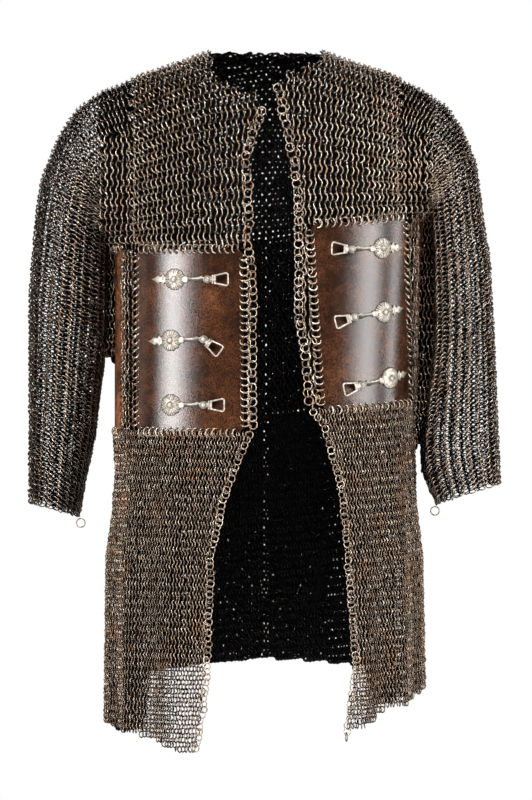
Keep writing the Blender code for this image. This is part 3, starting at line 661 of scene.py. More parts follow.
sleeve_wire = 0.00086
dense_radius = 0.0042
dense_wire = 0.00125
open_radius = 0.0045
open_wire = 0.00090
sleeve_rows = 50
sleeve_count = 88
sleeve_shade_grime = 0.72
sleeve_shade = 0.58
fold_shadow_to = 0.95
sleeve_turns = 241
sleeve_lines = 110
sleeve_columns = 161
sleeve_slant = math.radians(40)
slant_start = 0.12
slant_run = 0.2
sleeve_inset = 0.0020
fold_inset = 0.0025
fold_share = {"right": 0.215, "left": 0.11}
shoulder_end = 0.188
panel_lap = 0.002
open_back = {"right": (0.50, 0.73), "left": (0.55, 0.82)}
underarm_end = {"right": -0.326, "left": -0.425}
underarm_taper = 0.014
underarm_lap = 0.004
underarm_tuck = 0.008
underarm_depth = 0.006
underarm_lines = 40
underarm_columns = 12
underarm_row = 0.0076
underarm_pitch = 0.0054

sleeve_ring = make_ring(large_radius, sleeve_wire, flattened)
dense_ring = make_ring(dense_radius, dense_wire, heavy_flattened)
open_ring = make_ring(open_radius, open_wire, heavy_flattened)

for side in signs:
    runs = sleeve_runs(side)
    turns = np.linspace(-1, 1, sleeve_turns)
    lines = [
        np.array([sleeve(side, runs, float(share), float(turn)) for turn in turns])
        for share in np.linspace(sleeve_start, 1, sleeve_lines)
    ]
    grid = even(lines, sleeve_columns).transpose(1, 0, 2)
    middle = grid.mean(axis=0)
    v, u, odd = rows_and_columns(sleeve_rows, sleeve_count)

    def from_arm(places, line=middle, at=u):
        near = np.clip(at * (len(line) - 1), 0, len(line) - 1).astype(int)
        return places - line[near]

    field = Field(grid, v, u, odd, from_arm)
    field.places -= sleeve_inset * field.normal
    across = np.cross(field.normal, field.along)
    slant = signs[side] * sleeve_slant * np.clip((u - slant_start) / slant_run, 0, 1)[:, None]
    field.along = field.along * np.cos(slant) + across * np.sin(slant)
    out, z = np.abs(field.places[:, 0]), field.places[:, 2]
    beyond = (out > panel_out - panel_lap) | (z > panel_top)
    folded = v < fold_share[side]
    front = field.only((v < 0.5) & beyond & ~folded)
    woven(
        f"mail_sleeve_front_{side}", [front], sleeve_ring,
        shade_grime_to=sleeve_shade_grime, shade=sleeve_shade, node=f"sleeve_mail_{side}",
    )
    # Painted shadow: the rows in the fold along the sleeve's inner edge are painted dark almost all over,
    # for the shadow that falls in the fold
    fold_rows = field.only(folded & beyond)
    fold_rows.places -= fold_inset * fold_rows.normal
    woven(f"mail_sleeve_fold_{side}", [fold_rows], large_ring, shade_grime_to=fold_shadow_to)
    near = out < shoulder_end
    woven(f"mail_shoulder_back_{side}", [field.only((v >= 0.5) & near)], heavy_ring, heavy_lean)
    opened = (v >= open_back[side][0]) & (v < open_back[side][1]) & ~near
    woven(f"mail_sleeve_back_{side}", [field.only(opened)], open_ring, heavy_lean)
    dense = field.only((v >= 0.5) & ~opened & ~near)
    woven(f"mail_sleeve_inside_{side}", [dense], dense_ring, heavy_lean)

    line = sorted((-down * shirt_length, out * half_span) for out, down in inner_shares[side])
    heights, reaches = zip(*line)
    lines = []
    lowest, wide = underarm_end[side] - underarm_taper, 0.0
    for z in np.linspace(armpit_z(side) + underarm_lap, lowest, underarm_lines):
        first = half_width(side, z) - underarm_tuck
        last = float(np.interp(z, heights, reaches)) + underarm_lap
        wide = max(wide, last - first + underarm_lap)
        last = between(first + underarm_lap, last, min((z - lowest) / underarm_taper, 1.0))
        across = np.linspace(first, last, underarm_columns)
        lines.append(np.array([(signs[side] * x, underarm_depth, z) for x in across]))
    tall = armpit_z(side) - lowest
    v, u, odd = rows_and_columns(round(tall / underarm_row), round(wide / underarm_pitch))
    underarm = Field(np.array(lines), v, u, odd, lambda places: places * 0 + (0, -1, 0))
    woven(f"mail_underarm_{side}", [underarm], large_ring)
    behind = np.array(lines) + (0, underarm_depth, 0)
    lining = Field(behind, v, u, odd, lambda places: places * 0 + (0, 1, 0))
    woven(f"mail_underarm_back_{side}", [lining], heavy_ring, heavy_lean)


# Mail of the trunk between the armpits and the waist
#
# The same steel rings, in a narrow border along each open front edge, a strip between the front and
# the side plate, and the whole of the lower back. They are linked to the plates beside them.

strip_share = 0.075
side_plate_share = 0.19
band_rows = 26
back_band_rows = 37
band_half_count = 75
band_lines = 60
band_columns = 260
strip_shade_grime = 0.6
edge_clear = 0.0030
half_girth = 0.45
band_clear = edge_clear * math.pi / half_girth
border_cover = 0.3 * large_radius


def back_line(side, angle, edge):
    """The front plate's line on the back, where it runs level to the other side's height."""
    here = -shirt_length * plate_shares[side][2 * edge + 1][0]
    other = "left" if side == "right" else "right"
    there = -shirt_length * plate_shares[other][2 * edge + 1][0]
    out = abs(torso(side, angle, here).x)
    return between((here + there) / 2, here, min(out / armhole_out, 1.0))


def band_line(side, angle, edge):
    return plate_line(side, angle, edge) if angle < math.pi / 2 else back_line(side, angle, edge)


def plate_edge_angle(side, z, edge):
    """The angle of the front plate's inner (0) or outer (1) edge at a height."""
    high, low = plate_shares[side][edge], plate_shares[side][2 + edge]
    share = min(max((-z / shirt_length - high[0]) / (low[0] - high[0]), 0.0), 1.0)
    return angle_at(side, between(high[1], low[1], share) * half_span, z)


def from_axis(places):
    return places * np.array([1.0, 1.0, 0.0])


def round_trunk(side, height, line_count, columns):
    """Evenly spaced points from the middle of the back to the middle of the front, each with its
    angle, in lines at the heights that height(angle, share) gives."""
    lines = []
    for share in np.linspace(0, 1, line_count):
        line = []
        for angle in np.linspace(math.pi, 0, columns):
            line.append((*torso(side, angle, height(angle, float(share))), angle))
        lines.append(np.array(line))
    return even(lines, columns)


back_fields = []
for side in signs:
    def band_height(angle, share, side=side):
        return between(band_line(side, angle, 0), band_line(side, angle, 1), share)

    grid = round_trunk(side, band_height, band_lines, band_columns)
    v, u, odd = rows_and_columns(band_rows, band_half_count)
    field = Field(grid, v, u, odd, from_axis)
    z, angle, out = field.places[:, 2], field.data[:, 3], np.abs(field.places[:, 0])
    inner, outer = (np.array([plate_edge_angle(side, one, edge) for one in z]) for edge in (0, 1))
    edge = np.array([edge_out(side, one) for one in z])
    border = field.only((angle < inner - band_clear) & (out > edge + border_cover))
    strip_end = outer + math.pi * strip_share
    strip = field.only((angle > outer + band_clear) & (angle < strip_end - band_clear))
    v, u, odd = rows_and_columns(back_band_rows, band_half_count)
    field = Field(grid, v, u, odd, from_axis)
    z, angle = field.places[:, 2], field.data[:, 3]
    outer = np.array([plate_edge_angle(side, one, 1) for one in z])
    back_fields.append(field.only(angle > outer + math.pi * (strip_share + side_plate_share) + band_clear))
    woven(f"mail_border_{side}", [border], large_ring, node=f"front_edge_mail_{side}")
    woven(f"mail_strip_{side}", [strip], large_ring, shade_grime_to=strip_shade_grime, node=f"strip_mail_{side}")
woven("mail_lower_back", back_fields, heavy_ring, heavy_lean, node="lower_back_mail")


# Skirts
#
# Smaller steel rings, linked in closer rows from the waist down and hanging in shallow folds. The
# hem steps up row by row towards the sides.

small_radius = 0.00335
small_wire = 0.00100
heavy_small_radius = 0.0025
heavy_small_wire = 0.0022
skirt_shade_grime = 0.6
skirt_shade = 0.32
skirt_half_count = 127
skirt_row = 0.0050
skirt_drop = 0.42
skirt_lines = 90
skirt_columns = 360
skirt_cover = 0.3 * small_radius
front_end = 0.95
# The height of the hem, as shares of the length, by how far round it is from front to back
hem_shares = {
    "right": [
        (0.0, 0.985), (0.15, 0.978), (0.25, 0.958), (0.38, 0.944),
        (0.5, 0.936), (0.62, 0.948), (0.735, 0.953), (0.76, 0.865), (1.0, 0.85),
    ],
    "left": [
        (0.0, 0.956), (0.16, 0.946), (0.21, 0.938), (0.24, 0.926), (0.28, 0.915), (0.32, 0.913),
        (0.39, 0.904), (0.5, 0.885), (0.62, 0.90), (0.723, 0.912), (0.775, 0.918), (0.79, 0.86), (1.0, 0.85),
    ],
}

small_ring = make_ring(small_radius, small_wire, flattened, 8)
heavy_small_ring = make_ring(heavy_small_radius, heavy_small_wire, heavy_flattened, 8)


def waist_z(side):
    return -shirt_length * plate_shares[side][3][0]


for side in signs:
    def skirt_height(angle, share, side=side):
        return band_line(side, angle, 1) - skirt_drop * share

    v, u, odd = rows_and_columns(round(skirt_drop / skirt_row), skirt_half_count)
    grid = round_trunk(side, skirt_height, skirt_lines, skirt_columns)
    field = Field(grid, v, u, odd, from_axis)
    z, angle, out = field.places[:, 2], field.data[:, 3], np.abs(field.places[:, 0])
    hem = np.array([-shirt_length * read(hem_shares[side], one / math.pi) for one in angle])
    edge = np.array([edge_out(side, one) for one in z])
    keep = (z > hem + small_radius) & ((angle > math.pi / 2) | (out > edge + skirt_cover))
    flank = plate_edge_angle(side, waist_z(side), 1) + math.pi * (strip_share + side_plate_share)
    front = field.only(keep & (angle < front_end))
    flat = field.only(keep & (angle >= front_end) & (angle < flank))
    rear = field.only(keep & (angle >= flank))
    for name, part, node in (("front", front, f"skirt_mail_{side}"), ("side", flat, None)):
        woven(
            f"mail_skirt_{name}_{side}", [part], small_ring,
            shade_grime_to=skirt_shade_grime, shade=skirt_shade, node=node,
        )
    node = "back_skirt_mail" if side == "right" else None
    woven(f"mail_skirt_back_{side}", [rear], heavy_small_ring, heavy_lean, node=node)


# Loose and edge rings
#
# Whole round rings of steel wire hang along both front edges, turned every way, and single ones
# dangle from the cuffs and from the hem.

whole_around = 20
whole_sides = 6
edge_wire = 0.00068
edge_pitch = 0.0084
small_edge_radius = 0.0040
small_edge_wire = 0.00062
small_edge_pitch = 0.0062
edge_start = 0.003
edge_lap = 0.002
edge_beyond = 0.0008
edge_beyond_plate = 0.0012
plate_top_lap = 0.006
plate_foot_clear = 0.004
edge_face = 0.12
edge_turn = 0.12
edge_turn_spread = 0.34
edge_lift_spread = 0.2
edge_side_spread = 0.0006
edge_out_spread = 0.0008
edge_height_spread = 0.0005
hem_corner_share = 0.12
loose_places = {
    "loose_ring_cuff_right": ((-0.21013, 0.0, -0.52257), (1, 0, 0)),
    "loose_ring_cuff_left": ((0.19171, 0.0, -0.50897), (1, 0, 0)),
    "loose_ring_hem_left": ((0.09057, -0.10963, -0.76250), (0.19, -0.98, 0)),
}


def hung(name, rings, shape):
    """A piece of single rings, each given by its centre and the two directions of its plane."""
    points, faces = shape
    corners = []
    for centre, first, second in rings:
        axes = np.array([first, second, np.cross(first, second)])
        corners.append(np.array(centre) + points @ axes)
    return ring_piece(name, np.array(corners), faces)


edge_ring = make_ring(large_radius, edge_wire, 1, whole_around, whole_sides)
small_edge_ring = make_ring(small_edge_radius, small_edge_wire, 1, whole_around, whole_sides)

for side in signs:
    top = -shirt_length * edge_shares[side][0][0]
    waist = band_line(side, plate_edge_angle(side, waist_z(side), 0), 1)
    hem = -shirt_length * read(hem_shares[side], hem_corner_share)
    for name, first, last, shape, pitch in (
        ("edge", top, waist, edge_ring, edge_pitch),
        ("skirt_edge", waist, hem, small_edge_ring, small_edge_pitch),
    ):
        rings = []
        for z in np.arange(first - edge_start, last + edge_lap, -pitch):
            beside_plate = armpit_z(side) + plate_top_lap > z > waist + plate_foot_clear
            out = edge_out(side, z) + (edge_beyond_plate if beside_plate else edge_beyond)
            place = torso(side, angle_at(side, out, z), z)
            if z > armpit_z(side):
                place = yoke(signs[side] * out, z, -1)
            normal = Vector((signs[side] * edge_face, -1, 0)).normalized()
            turn = dice.normal(edge_turn, edge_turn_spread)
            lift = dice.normal(0, edge_lift_spread)
            across = Vector((signs[side], 0, 0)) * math.cos(turn) + normal * math.sin(turn)
            down = Vector((0, 0, -1)) * math.cos(lift) + normal * math.sin(lift)
            down = (down - across * down.dot(across)).normalized()
            place.x += dice.normal(0, edge_side_spread)
            place.y -= abs(dice.normal(0, edge_out_spread))
            place.z += dice.normal(0, edge_height_spread)
            rings.append((place, across, down))
        hung(f"mail_{name}_{side}", rings, shape)

for node, (centre, first) in loose_places.items():
    ring = hung(f"single_{node}", [(centre, Vector(first).normalized(), Vector((0, 0, 1)))], edge_ring)
    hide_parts(node)


# Plates
#
# Two large front plates and a narrow side plate beyond each, of thin steel with a russet patina.
# Holes run close inside every edge, and a ring of the mail goes through each of them.

plate_thickness = 0.0016
plate_corner = 0.008
plate_cell = 0.0016
plate_sharpest = 40
blank_over = 0.00004
hole_radius = 0.0017
hole_pitch = 0.0077
hole_inset = 0.0033
hole_start = 0.0092
link_wire = 0.0009
link_sink = 0.0004
level_turn = 46
upright_turn = 52
turn_spread = 9
near_step = 0.0005
face_samples = 61
front_colours = (
    (0.018, 0.0082, 0.0048, 1), (0.034, 0.0132, 0.0066, 1),
    (0.064, 0.0246, 0.0112, 1), (0.120, 0.048, 0.022, 1),
)
# Painted light: the side plates carry the front plates' patina painted three to four times lighter, standing
# in for the light that reaches their sides
side_lit_colours = (
    (0.05, 0.020, 0.011, 1), (0.15, 0.056, 0.026, 1), (0.33, 0.125, 0.060, 1), (0.50, 0.215, 0.110, 1),
)


def russet(name, colours):
    """Browned steel: clouds of the four colours, pitted and polished, and near black without reflection
    where the plate is seen through a loop from the front.
    """
    finish = Finish(name, 0.0)
    finish.shader.inputs["IOR"].default_value = 1.86
    clouds = finish.noise(26.0, 9.0, 0.70)
    specks = finish.noise(760.0, 4.0, 0.7)
    loop_patch = finish.attribute("loop_dark_patch")
    patina = finish.ramp(clouds, list(zip((0.33, 0.44, 0.56, 0.68), colours)))
    speck_tone = finish.ramp(specks, [(0.38, (0.22, 0.20, 0.19, 1)), (0.66, (2.4, 2.2, 2.0, 1))])
    speckled = finish.times(patina, speck_tone, 0.9)
    finish.into("Base Color", finish.covered(speckled, (0.004, 0.003, 0.003, 1), loop_patch))
    finish.into("Roughness", finish.span(specks, 0.3, 0.7, 0.07, 0.14))
    finish.into("Specular IOR Level", finish.span(loop_patch, 0, 0.7, 0.5, 0))
    finish.bump(specks, 0.5, 0.0003)
    return finish.material


def plate_point(side, at_side, u, v):
    """A point of the front plate, or of the side plate."""
    z = between(armpit_z(side), waist_z(side), v)
    for _ in range(6):
        inner, outer = plate_edge_angle(side, z, 0), plate_edge_angle(side, z, 1)
        if at_side:
            inner = outer + math.pi * strip_share
            outer = inner + math.pi * side_plate_share
        angle = between(inner, outer, u)
        z = between(plate_line(side, angle, 0), plate_line(side, angle, 1), v)
    return torso(side, angle, z)


class PlateFace:
    """The bent face of a plate, laid out flat in metres: across from its inner edge, down, and out."""

    def __init__(self, side, at_side):
        self.shares = np.linspace(0, 1, face_samples)
        grid = np.array(
            [[plate_point(side, at_side, float(u), float(v)) for u in self.shares] for v in self.shares]
        )
        normal = np.cross(np.gradient(grid, axis=1), np.gradient(grid, axis=0))
        normal /= np.linalg.norm(normal, axis=2, keepdims=True)
        normal *= np.sign((normal * grid * (1, 1, 0)).sum(axis=2))[:, :, None]
        self.grid = np.concatenate([grid, normal], axis=2)
        steps = np.linalg.norm(np.diff(grid[face_samples // 2], axis=0), axis=1)
        self.reach = np.concatenate([[0.0], np.cumsum(steps)])
        self.width = float(self.reach[-1])
        self.height = float(np.linalg.norm(grid[0] - grid[-1], axis=1).mean())

    def at(self, flat):
        u = np.interp(flat[:, 0], self.reach, self.shares)
        here = sampled(self.grid, flat[:, 1] / self.height, u)
        return here[:, :3] + here[:, 3:] * flat[:, 2:]

    def frame(self, x, y):
        """A place on the face with its directions across, down and out."""
        steps = near_step * np.array([(0, 0, 0), (1, 0, 0), (-1, 0, 0), (0, 1, 0), (0, -1, 0), (0, 0, 1)])
        place, right, left, low, high, raised = self.at(np.array((x, y, 0)) + steps)
        across = Vector(right - left).normalized()
        down = Vector(low - high)
        down = (down - across * down.dot(across)).normalized()
        return Vector(place), across, down, Vector(raised - place).normalized()

    def holes(self):
        """Each hole as its place on the flat face and the direction to the nearest edge."""
        spots = []
        for length, breadth, turned in ((self.width, self.height, False), (self.height, self.width, True)):
            count = round((length - 2 * hole_start) / hole_pitch)
            for index in range(count + 1):
                along = between(hole_start, length - hole_start, index / count)
                for away, edge in ((-1, hole_inset), (1, breadth - hole_inset)):
                    spots.append((edge, along, away, 0) if turned else (along, edge, 0, away))
        return spots


def cut_with(piece, cutter, operation):
    """Applies a Boolean and takes the cutter away."""
    change = piece.modifiers.new("cut", "BOOLEAN")
    change.operation, change.object, change.solver = operation, cutter, "EXACT"
    bpy.context.view_layer.objects.active = piece
    bpy.ops.object.modifier_apply(modifier=change.name)
    bpy.data.objects.remove(cutter, do_unlink=True)


def apply_place():
    bpy.ops.object.transform_apply(location=True, rotation=True, scale=True)


def only_selected(*pieces):
    bpy.ops.object.select_all(action="DESELECT")
    for piece in pieces:
        piece.select_set(True)
    bpy.context.view_layer.objects.active = pieces[0]


def finished(piece, sharpest, metal, body, node):
    """Turns the faces outward, smooths them up to an angle, and gives the piece its metal and place."""
    only_selected(piece)
    with edit_mode():
        bpy.ops.mesh.normals_make_consistent(inside=False)
    bpy.ops.object.shade_smooth_by_angle(angle=math.radians(sharpest))
    piece.data.materials.clear()
    piece.data.materials.append(metal)
    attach(piece, body)
    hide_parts(node)


def make_plate(name, node, face, metal):
    """A plate cut out flat, with round corners and its holes, then bent to the face."""
    width, height = face.width, face.height
    middle = (width / 2, height / 2, 0)
    sheet = added(
        bpy.ops.mesh.primitive_grid_add,
        x_subdivisions=round(width / plate_cell), y_subdivisions=round(height / plate_cell),
        size=1, location=middle, scale=(width, height, 1),
    )
    sheet.name = name
    apply_place()
    thick = sheet.modifiers.new("thickness", "SOLIDIFY")
    thick.thickness, thick.offset = plate_thickness, 0
    bpy.ops.object.modifier_apply(modifier=thick.name)
    blank = added(
        bpy.ops.mesh.primitive_cube_add,
        size=1, location=middle, scale=(width + blank_over, height + blank_over, 4 * plate_thickness),
    )
    apply_place()
    bpy.ops.object.mode_set(mode="EDIT")
    bpy.ops.mesh.select_mode(type="EDGE")
    bpy.ops.mesh.select_all(action="DESELECT")
    bpy.ops.object.mode_set(mode="OBJECT")
    for edge in blank.data.edges:
        low, high = (blank.data.vertices[index].co for index in edge.vertices)
        edge.select = abs(high.z - low.z) > plate_thickness
    bpy.ops.object.mode_set(mode="EDIT")
    bpy.ops.mesh.bevel(offset=plate_corner, segments=8, affect="EDGES")
    bpy.ops.object.mode_set(mode="OBJECT")
    cut_with(sheet, blank, "INTERSECT")
    spots = [(x, y, 0) for x, y, _, _ in face.holes()]
    first = added(
        bpy.ops.mesh.primitive_cylinder_add,
        vertices=14, radius=hole_radius, depth=4 * plate_thickness, location=spots[0],
    )
    punches = [first]
    for spot in spots[1:]:
        punch = bpy.data.objects.new("punch", first.data.copy())
        punch.location = spot
        bpy.context.collection.objects.link(punch)
        punches.append(punch)
    only_selected(*punches)
    bpy.ops.object.join()
    cut_with(sheet, bpy.context.object, "DIFFERENCE")
    flat = np.array([vertex.co for vertex in sheet.data.vertices])
    sheet.data.vertices.foreach_set("co", face.at(flat).astype(np.float32).ravel())
    sheet.data.update()
    finished(sheet, plate_sharpest, metal, "shirt", node)
    return sheet


link_ring = make_ring(large_radius, link_wire, 1, whole_around, whole_sides)
front_russet = russet("russet_plate_steel", front_colours)
side_lit_russet = russet("russet_side_painted_light", side_lit_colours)
plates = {}
for side in signs:
    for at_side, node in ((False, f"front_plate_{side}"), (True, f"side_plate_{side}")):
        face = PlateFace(side, at_side)
        plates[node] = make_plate(f"sheet_{node}", node, face, side_lit_russet if at_side else front_russet)
        rings = []
        for x, y, away_x, away_y in face.holes():
            place, across, down, normal = face.frame(x, y)
            away = across * away_x + down * away_y
            along = down if away_x else across
            turn = math.radians(dice.normal(level_turn, turn_spread))
            if away_x:
                turn = math.radians(dice.normal(upright_turn, turn_spread))
            second = normal * math.cos(turn) + along * math.sin(turn)
            rings.append((place + away * (large_radius - link_sink), away, second))
        hung(f"mail_links_{node}", rings, link_ring)


# Clasps
#
# Three to a front plate, each cast in one piece of white metal: a fluted disc riveted to the plate,
# a leaf-shaped finial behind it and a ridged arm in front. A loop of wire with a collar swivels on
# a stud at the arm's end.

disc_radius = 0.0124
disc_height = 0.0028
dome_cut = 0.0002
petals = 12
hub_radius = 0.0030
hub_fade = 0.0018
groove_depth = 0.00062
worn_groove_depth = 0.00022
line_depth = 0.00030
groove_share = 0.12
line_share = 0.10
scallop = 0.065
scallop_start = 0.80
hub_shade_radius = 0.0031
hub_shade_spread = 0.0007
rim_shade_start = 0.90
rim_shade_run = 0.09
arm_reach = 0.036
arm_height = 0.0032
pad_radius = 0.0042
pad_lift = 0.0017
seat_gap = 0.0003
eye_radius = 0.0031
eye_wire = 0.0013
eye_height = 0.0018
stud_radius = 0.0012
rivet_radius = 0.0015
loop_wire = 0.0009
cast_sharpest = 34
band_round = 0.0003
arm_shade_start = 0.0154
arm_lit_above = 0.0010
speed_step = 0.0006
loop_lift = arm_height + seat_gap + eye_height / 2
patch_start = 0.0092
patch_end = 0.0238
patch_neck = 0.0096
patch_half_width = 0.0042
patch_spread = 0.21
patch_fade = 0.0008

disc_shares = {
    "right_top": (0.385, 0.309),
    "right_middle": (0.401, 0.395),
    "right_bottom": (0.401, 0.486),
    "left_top": (0.490, 0.265),
    "left_middle": (0.498, 0.355),
    "left_bottom": (0.523, 0.448),
}
# Each clasp's tilt and its loop's droop in degrees, whether it has a finial and whether it is fluted
clasps = {
    "right_top": (0, 0, True, True),
    "right_middle": (2, -38, True, True),
    "right_bottom": (0, 0, False, True),
    "left_top": (-2, 4, True, True),
    "left_middle": (-9, -8, True, True),
    "left_bottom": (-12, -4, True, False),
}
# Sections of the bars: the place along the bar, the width, and the heights of its foot and its top
arm_sections = [
    (0.0100, 0.0050, 0.0004, 0.0030), (0.0118, 0.0072, 0.0003, 0.0034), (0.0146, 0.0074, 0.0003, 0.0034),
    (0.0152, 0.0050, 0.0005, 0.0028), (0.0162, 0.0042, 0.0008, 0.0027), (0.0215, 0.0036, 0.0010, 0.0029),
    (0.0262, 0.0047, 0.0013, 0.0031), (0.0288, 0.0064, 0.0015, 0.0033), (0.0302, 0.0066, 0.0016, 0.0033),
    (0.0312, 0.0044, 0.0017, 0.0031), (0.0330, 0.0046, 0.0017, 0.0031),
]
finial_sections = [
    (-0.0104, 0.0064, 0.0003, 0.0024), (-0.0122, 0.0070, 0.0003, 0.0023), (-0.0132, 0.0104, 0.0003, 0.0021),
    (-0.0143, 0.0128, 0.0003, 0.0018), (-0.0149, 0.0086, 0.0003, 0.0021), (-0.0160, 0.0056, 0.0003, 0.0023),
    (-0.0176, 0.0058, 0.0003, 0.0024), (-0.0196, 0.0080, 0.0003, 0.0024), (-0.0214, 0.0078, 0.0003, 0.0023),
    (-0.0238, 0.0052, 0.0003, 0.0020), (-0.0262, 0.0026, 0.0003, 0.0014), (-0.0300, 0.0003, 0.0003, 0.0006),
]
neck_sections = [
    (0.0036, 0.0050, -0.0008, 0.0008), (0.0050, 0.0042, -0.0008, 0.0008), (0.0094, 0.0042, -0.0008, 0.0008),
]
# The neck's two bands: place, width and radius, and half of the loop's bend, along and aside
bands = ((0.0062, 0.0098, 0.00105), (0.0088, 0.0106, 0.00115))
half_bend = [(0.0090, 0.0044), (0.0204, 0.0069), (0.0221, 0.0070), (0.0234, 0.0062), (0.0238, 0.0046)]

pale = Finish("clasp_casting", 0.65)
worn = pale.noise(330.0, 5.0, 0.6)
tarnish = pale.ramp(worn, [
    (0.34, (0.36, 0.295, 0.225, 1)), (0.47, (0.60, 0.53, 0.44, 1)), (0.62, (0.88, 0.83, 0.76, 1)),
])
# Near black over tarnish in the disc's grooves, over painted shade at its rim, round the rivet head and
# along the arm's lower side, and partly over the whole eye
pale.into("Base Color", pale.covered(tarnish, (0.014, 0.009, 0.006, 1), pale.attribute("tarnish_and_shade")))
pale.into("Roughness", pale.span(worn, 0.35, 0.65, 0.52, 0.28))
pale.bump(worn, 0.16, 0.0002)


class Seat:
    """Where a clasp sits on its plate. It lays the clasp's own flat frame on the bent face."""

    def __init__(self, side, out, down, tilt):
        self.side = side
        self.z = -down * shirt_length
        self.angle = angle_at(side, out * half_span, self.z)
        near = torso(side, self.angle + speed_step, self.z)
        far = torso(side, self.angle - speed_step, self.z)
        self.speed = (near - far).length / (2 * speed_step)
        self.tilt = math.radians(tilt)

    def point(self, x, y, height):
        along = x * math.cos(self.tilt) - y * math.sin(self.tilt)
        up = x * math.sin(self.tilt) + y * math.cos(self.tilt)
        angle, z = self.angle - along / self.speed, self.z + up
        across = torso(self.side, angle - near_step, z) - torso(self.side, angle + near_step, z)
        rise = torso(self.side, angle, z + near_step) - torso(self.side, angle, z - near_step)
        face = torso(self.side, angle, z)
        normal = across.cross(rise)
        normal = normal.normalized() * math.copysign(1, normal.x * face.x + normal.y * face.y)
        return face + normal * (plate_thickness / 2 + height)

    def frame(self, x, droop):
        """A frame at a place along the arm, turned down by the droop, with z out of the plate."""
        origin = self.point(x, 0, 0)
        ahead = (self.point(x + near_step, 0, 0) - origin).normalized()
        normal = (self.point(x, 0, near_step) - origin).normalized()
        raised = normal.cross(ahead).normalized()
        if raised.dot(self.point(x, near_step, 0) - origin) < 0:
            raised.negate()
        turned = ahead * math.cos(droop) + raised * math.sin(droop)
        upward = raised * math.cos(droop) - ahead * math.sin(droop)
        if turned.cross(upward).dot(normal) < 0:
            upward = -upward
        return Matrix.Translation(origin) @ Matrix((turned, upward, normal)).transposed().to_4x4()


def joined(pieces):
    """Several objects made one, in edit mode's own units."""
    only_selected(*pieces)
    apply_place()
    bpy.ops.object.join()
    return bpy.context.object


def drawn_out(stations, sides):
    """A bar along x, drawn out from one (place, width, low, high) section to the next."""
    x, wide, low, high = stations[0]
    bar = added(
        bpy.ops.mesh.primitive_circle_add,
        vertices=sides, radius=0.5, fill_type="NGON", rotation=(math.pi / 2, 0, math.pi / 2),
    )
    apply_place()
    with edit_mode():
        bpy.ops.transform.resize(value=(1, wide, high - low), center_override=(0, 0, 0))
        bpy.ops.transform.translate(value=(x, 0, (low + high) / 2))
        for (x, wide, low, high), (next_x, next_wide, next_low, next_high) in zip(stations, stations[1:]):
            rise = (next_low + next_high - low - high) / 2
            bpy.ops.mesh.extrude_region_move(TRANSFORM_OT_translate={"value": (next_x - x, 0, rise)})
            bpy.ops.transform.resize(
                value=(1, next_wide / wide, (next_high - next_low) / (high - low)),
                center_override=(next_x, 0, (next_low + next_high) / 2),
            )
        bpy.ops.mesh.select_all(action="SELECT")
        bpy.ops.mesh.normals_make_consistent(inside=False)
    return bar


def mark_tarnish_and_shade(piece, values):
    """Writes how dark each point of a casting is painted, by tarnish in its grooves and by painted shade."""
    marks = piece.data.attributes.new("tarnish_and_shade", "FLOAT", "POINT")
    marks.data.foreach_set("value", values)


def ramped(value):
    return min(max(value, 0.0), 1.0)


def fluted_disc(fluted):
    """A low dome, its rim scalloped, with a groove between the petals and a line down each."""
    disc = added(
        bpy.ops.mesh.primitive_uv_sphere_add, segments=12 * petals, ring_count=24, radius=disc_radius
    )
    with edit_mode():
        bpy.ops.mesh.bisect(
            plane_co=(0, 0, dome_cut), plane_no=(0, 0, 1), use_fill=True, clear_inner=True
        )
        bpy.ops.mesh.select_all(action="SELECT")
        bpy.ops.transform.resize(value=(1, 1, disc_height / disc_radius), center_override=(0, 0, 0))
        bpy.ops.transform.translate(value=(0, 0, seat_gap))
    darkening = []
    for vertex in disc.data.vertices:
        out = math.hypot(vertex.co.x, vertex.co.y)
        turn = math.atan2(vertex.co.y, vertex.co.x) / (2 * math.pi) * petals
        off = abs(turn - round(turn))
        line = abs(turn + 0.5 - round(turn + 0.5))
        reach = ramped((out - hub_radius) / hub_fade)
        groove = ramped(1.5 * (1 - off / groove_share)) * reach
        fine = ramped(1.4 * (1 - line / line_share)) * reach
        deep = groove_depth if fluted else worn_groove_depth
        vertex.co.z -= min(deep * groove + line_depth * fine, 0.8 * max(vertex.co.z - seat_gap, 0.0))
        if fluted:
            rim = ramped((out / disc_radius - scallop_start) / (1 - scallop_start))
            scale = 1 - scallop * rim * (1 - math.sin(math.pi * min(off, 0.5)) ** 0.6)
            vertex.co.x *= scale
            vertex.co.y *= scale
        # Painted shade: a dark ring round the foot of the rivet head, and darkening towards the disc's rim,
        # for the shadow there
        painted_shade = 0.9 * max(1 - abs(out - hub_shade_radius) / hub_shade_spread, 0.0)
        painted_shade += max((out / disc_radius - rim_shade_start) / rim_shade_run, 0.0)
        lines = groove + 0.85 * fine if fluted else 0.35 * max(groove, fine)
        darkening.append(min(lines + painted_shade, 1.0))
    mark_tarnish_and_shade(disc, darkening)
    return disc


def cast_clasp(with_finial, fluted):
    """The disc, the arm with its pad and neck block, and the finial, as one casting."""
    disc = fluted_disc(fluted)
    arm = drawn_out(arm_sections, 8)
    points = [vertex.co for vertex in arm.data.vertices]
    # Painted shade: past the disc the arm is painted dark below its upper side, and the upper side is left
    # light as if lit
    lit = [point.y > arm_lit_above or point.x < arm_shade_start for point in points]
    mark_tarnish_and_shade(arm, [0.1 if one else 0.9 for one in lit])
    pad = added(
        bpy.ops.mesh.primitive_cylinder_add,
        vertices=28, radius=pad_radius, depth=arm_height - pad_lift,
        location=(arm_reach, 0, (arm_height + pad_lift) / 2),
    )
    finial = [drawn_out(finial_sections, 10)] if with_finial else []
    return joined([disc, arm, pad, *finial])


def turned(stations, sides=24):
    """A pin turned about z from (radius, height) pairs."""
    bar = drawn_out([(height, 2 * radius, -radius, radius) for radius, height in stations], sides)
    only_selected(bar)
    bar.rotation_euler = (0, -math.pi / 2, 0)
    bpy.ops.object.transform_apply(location=False, rotation=True, scale=False)
    return bar


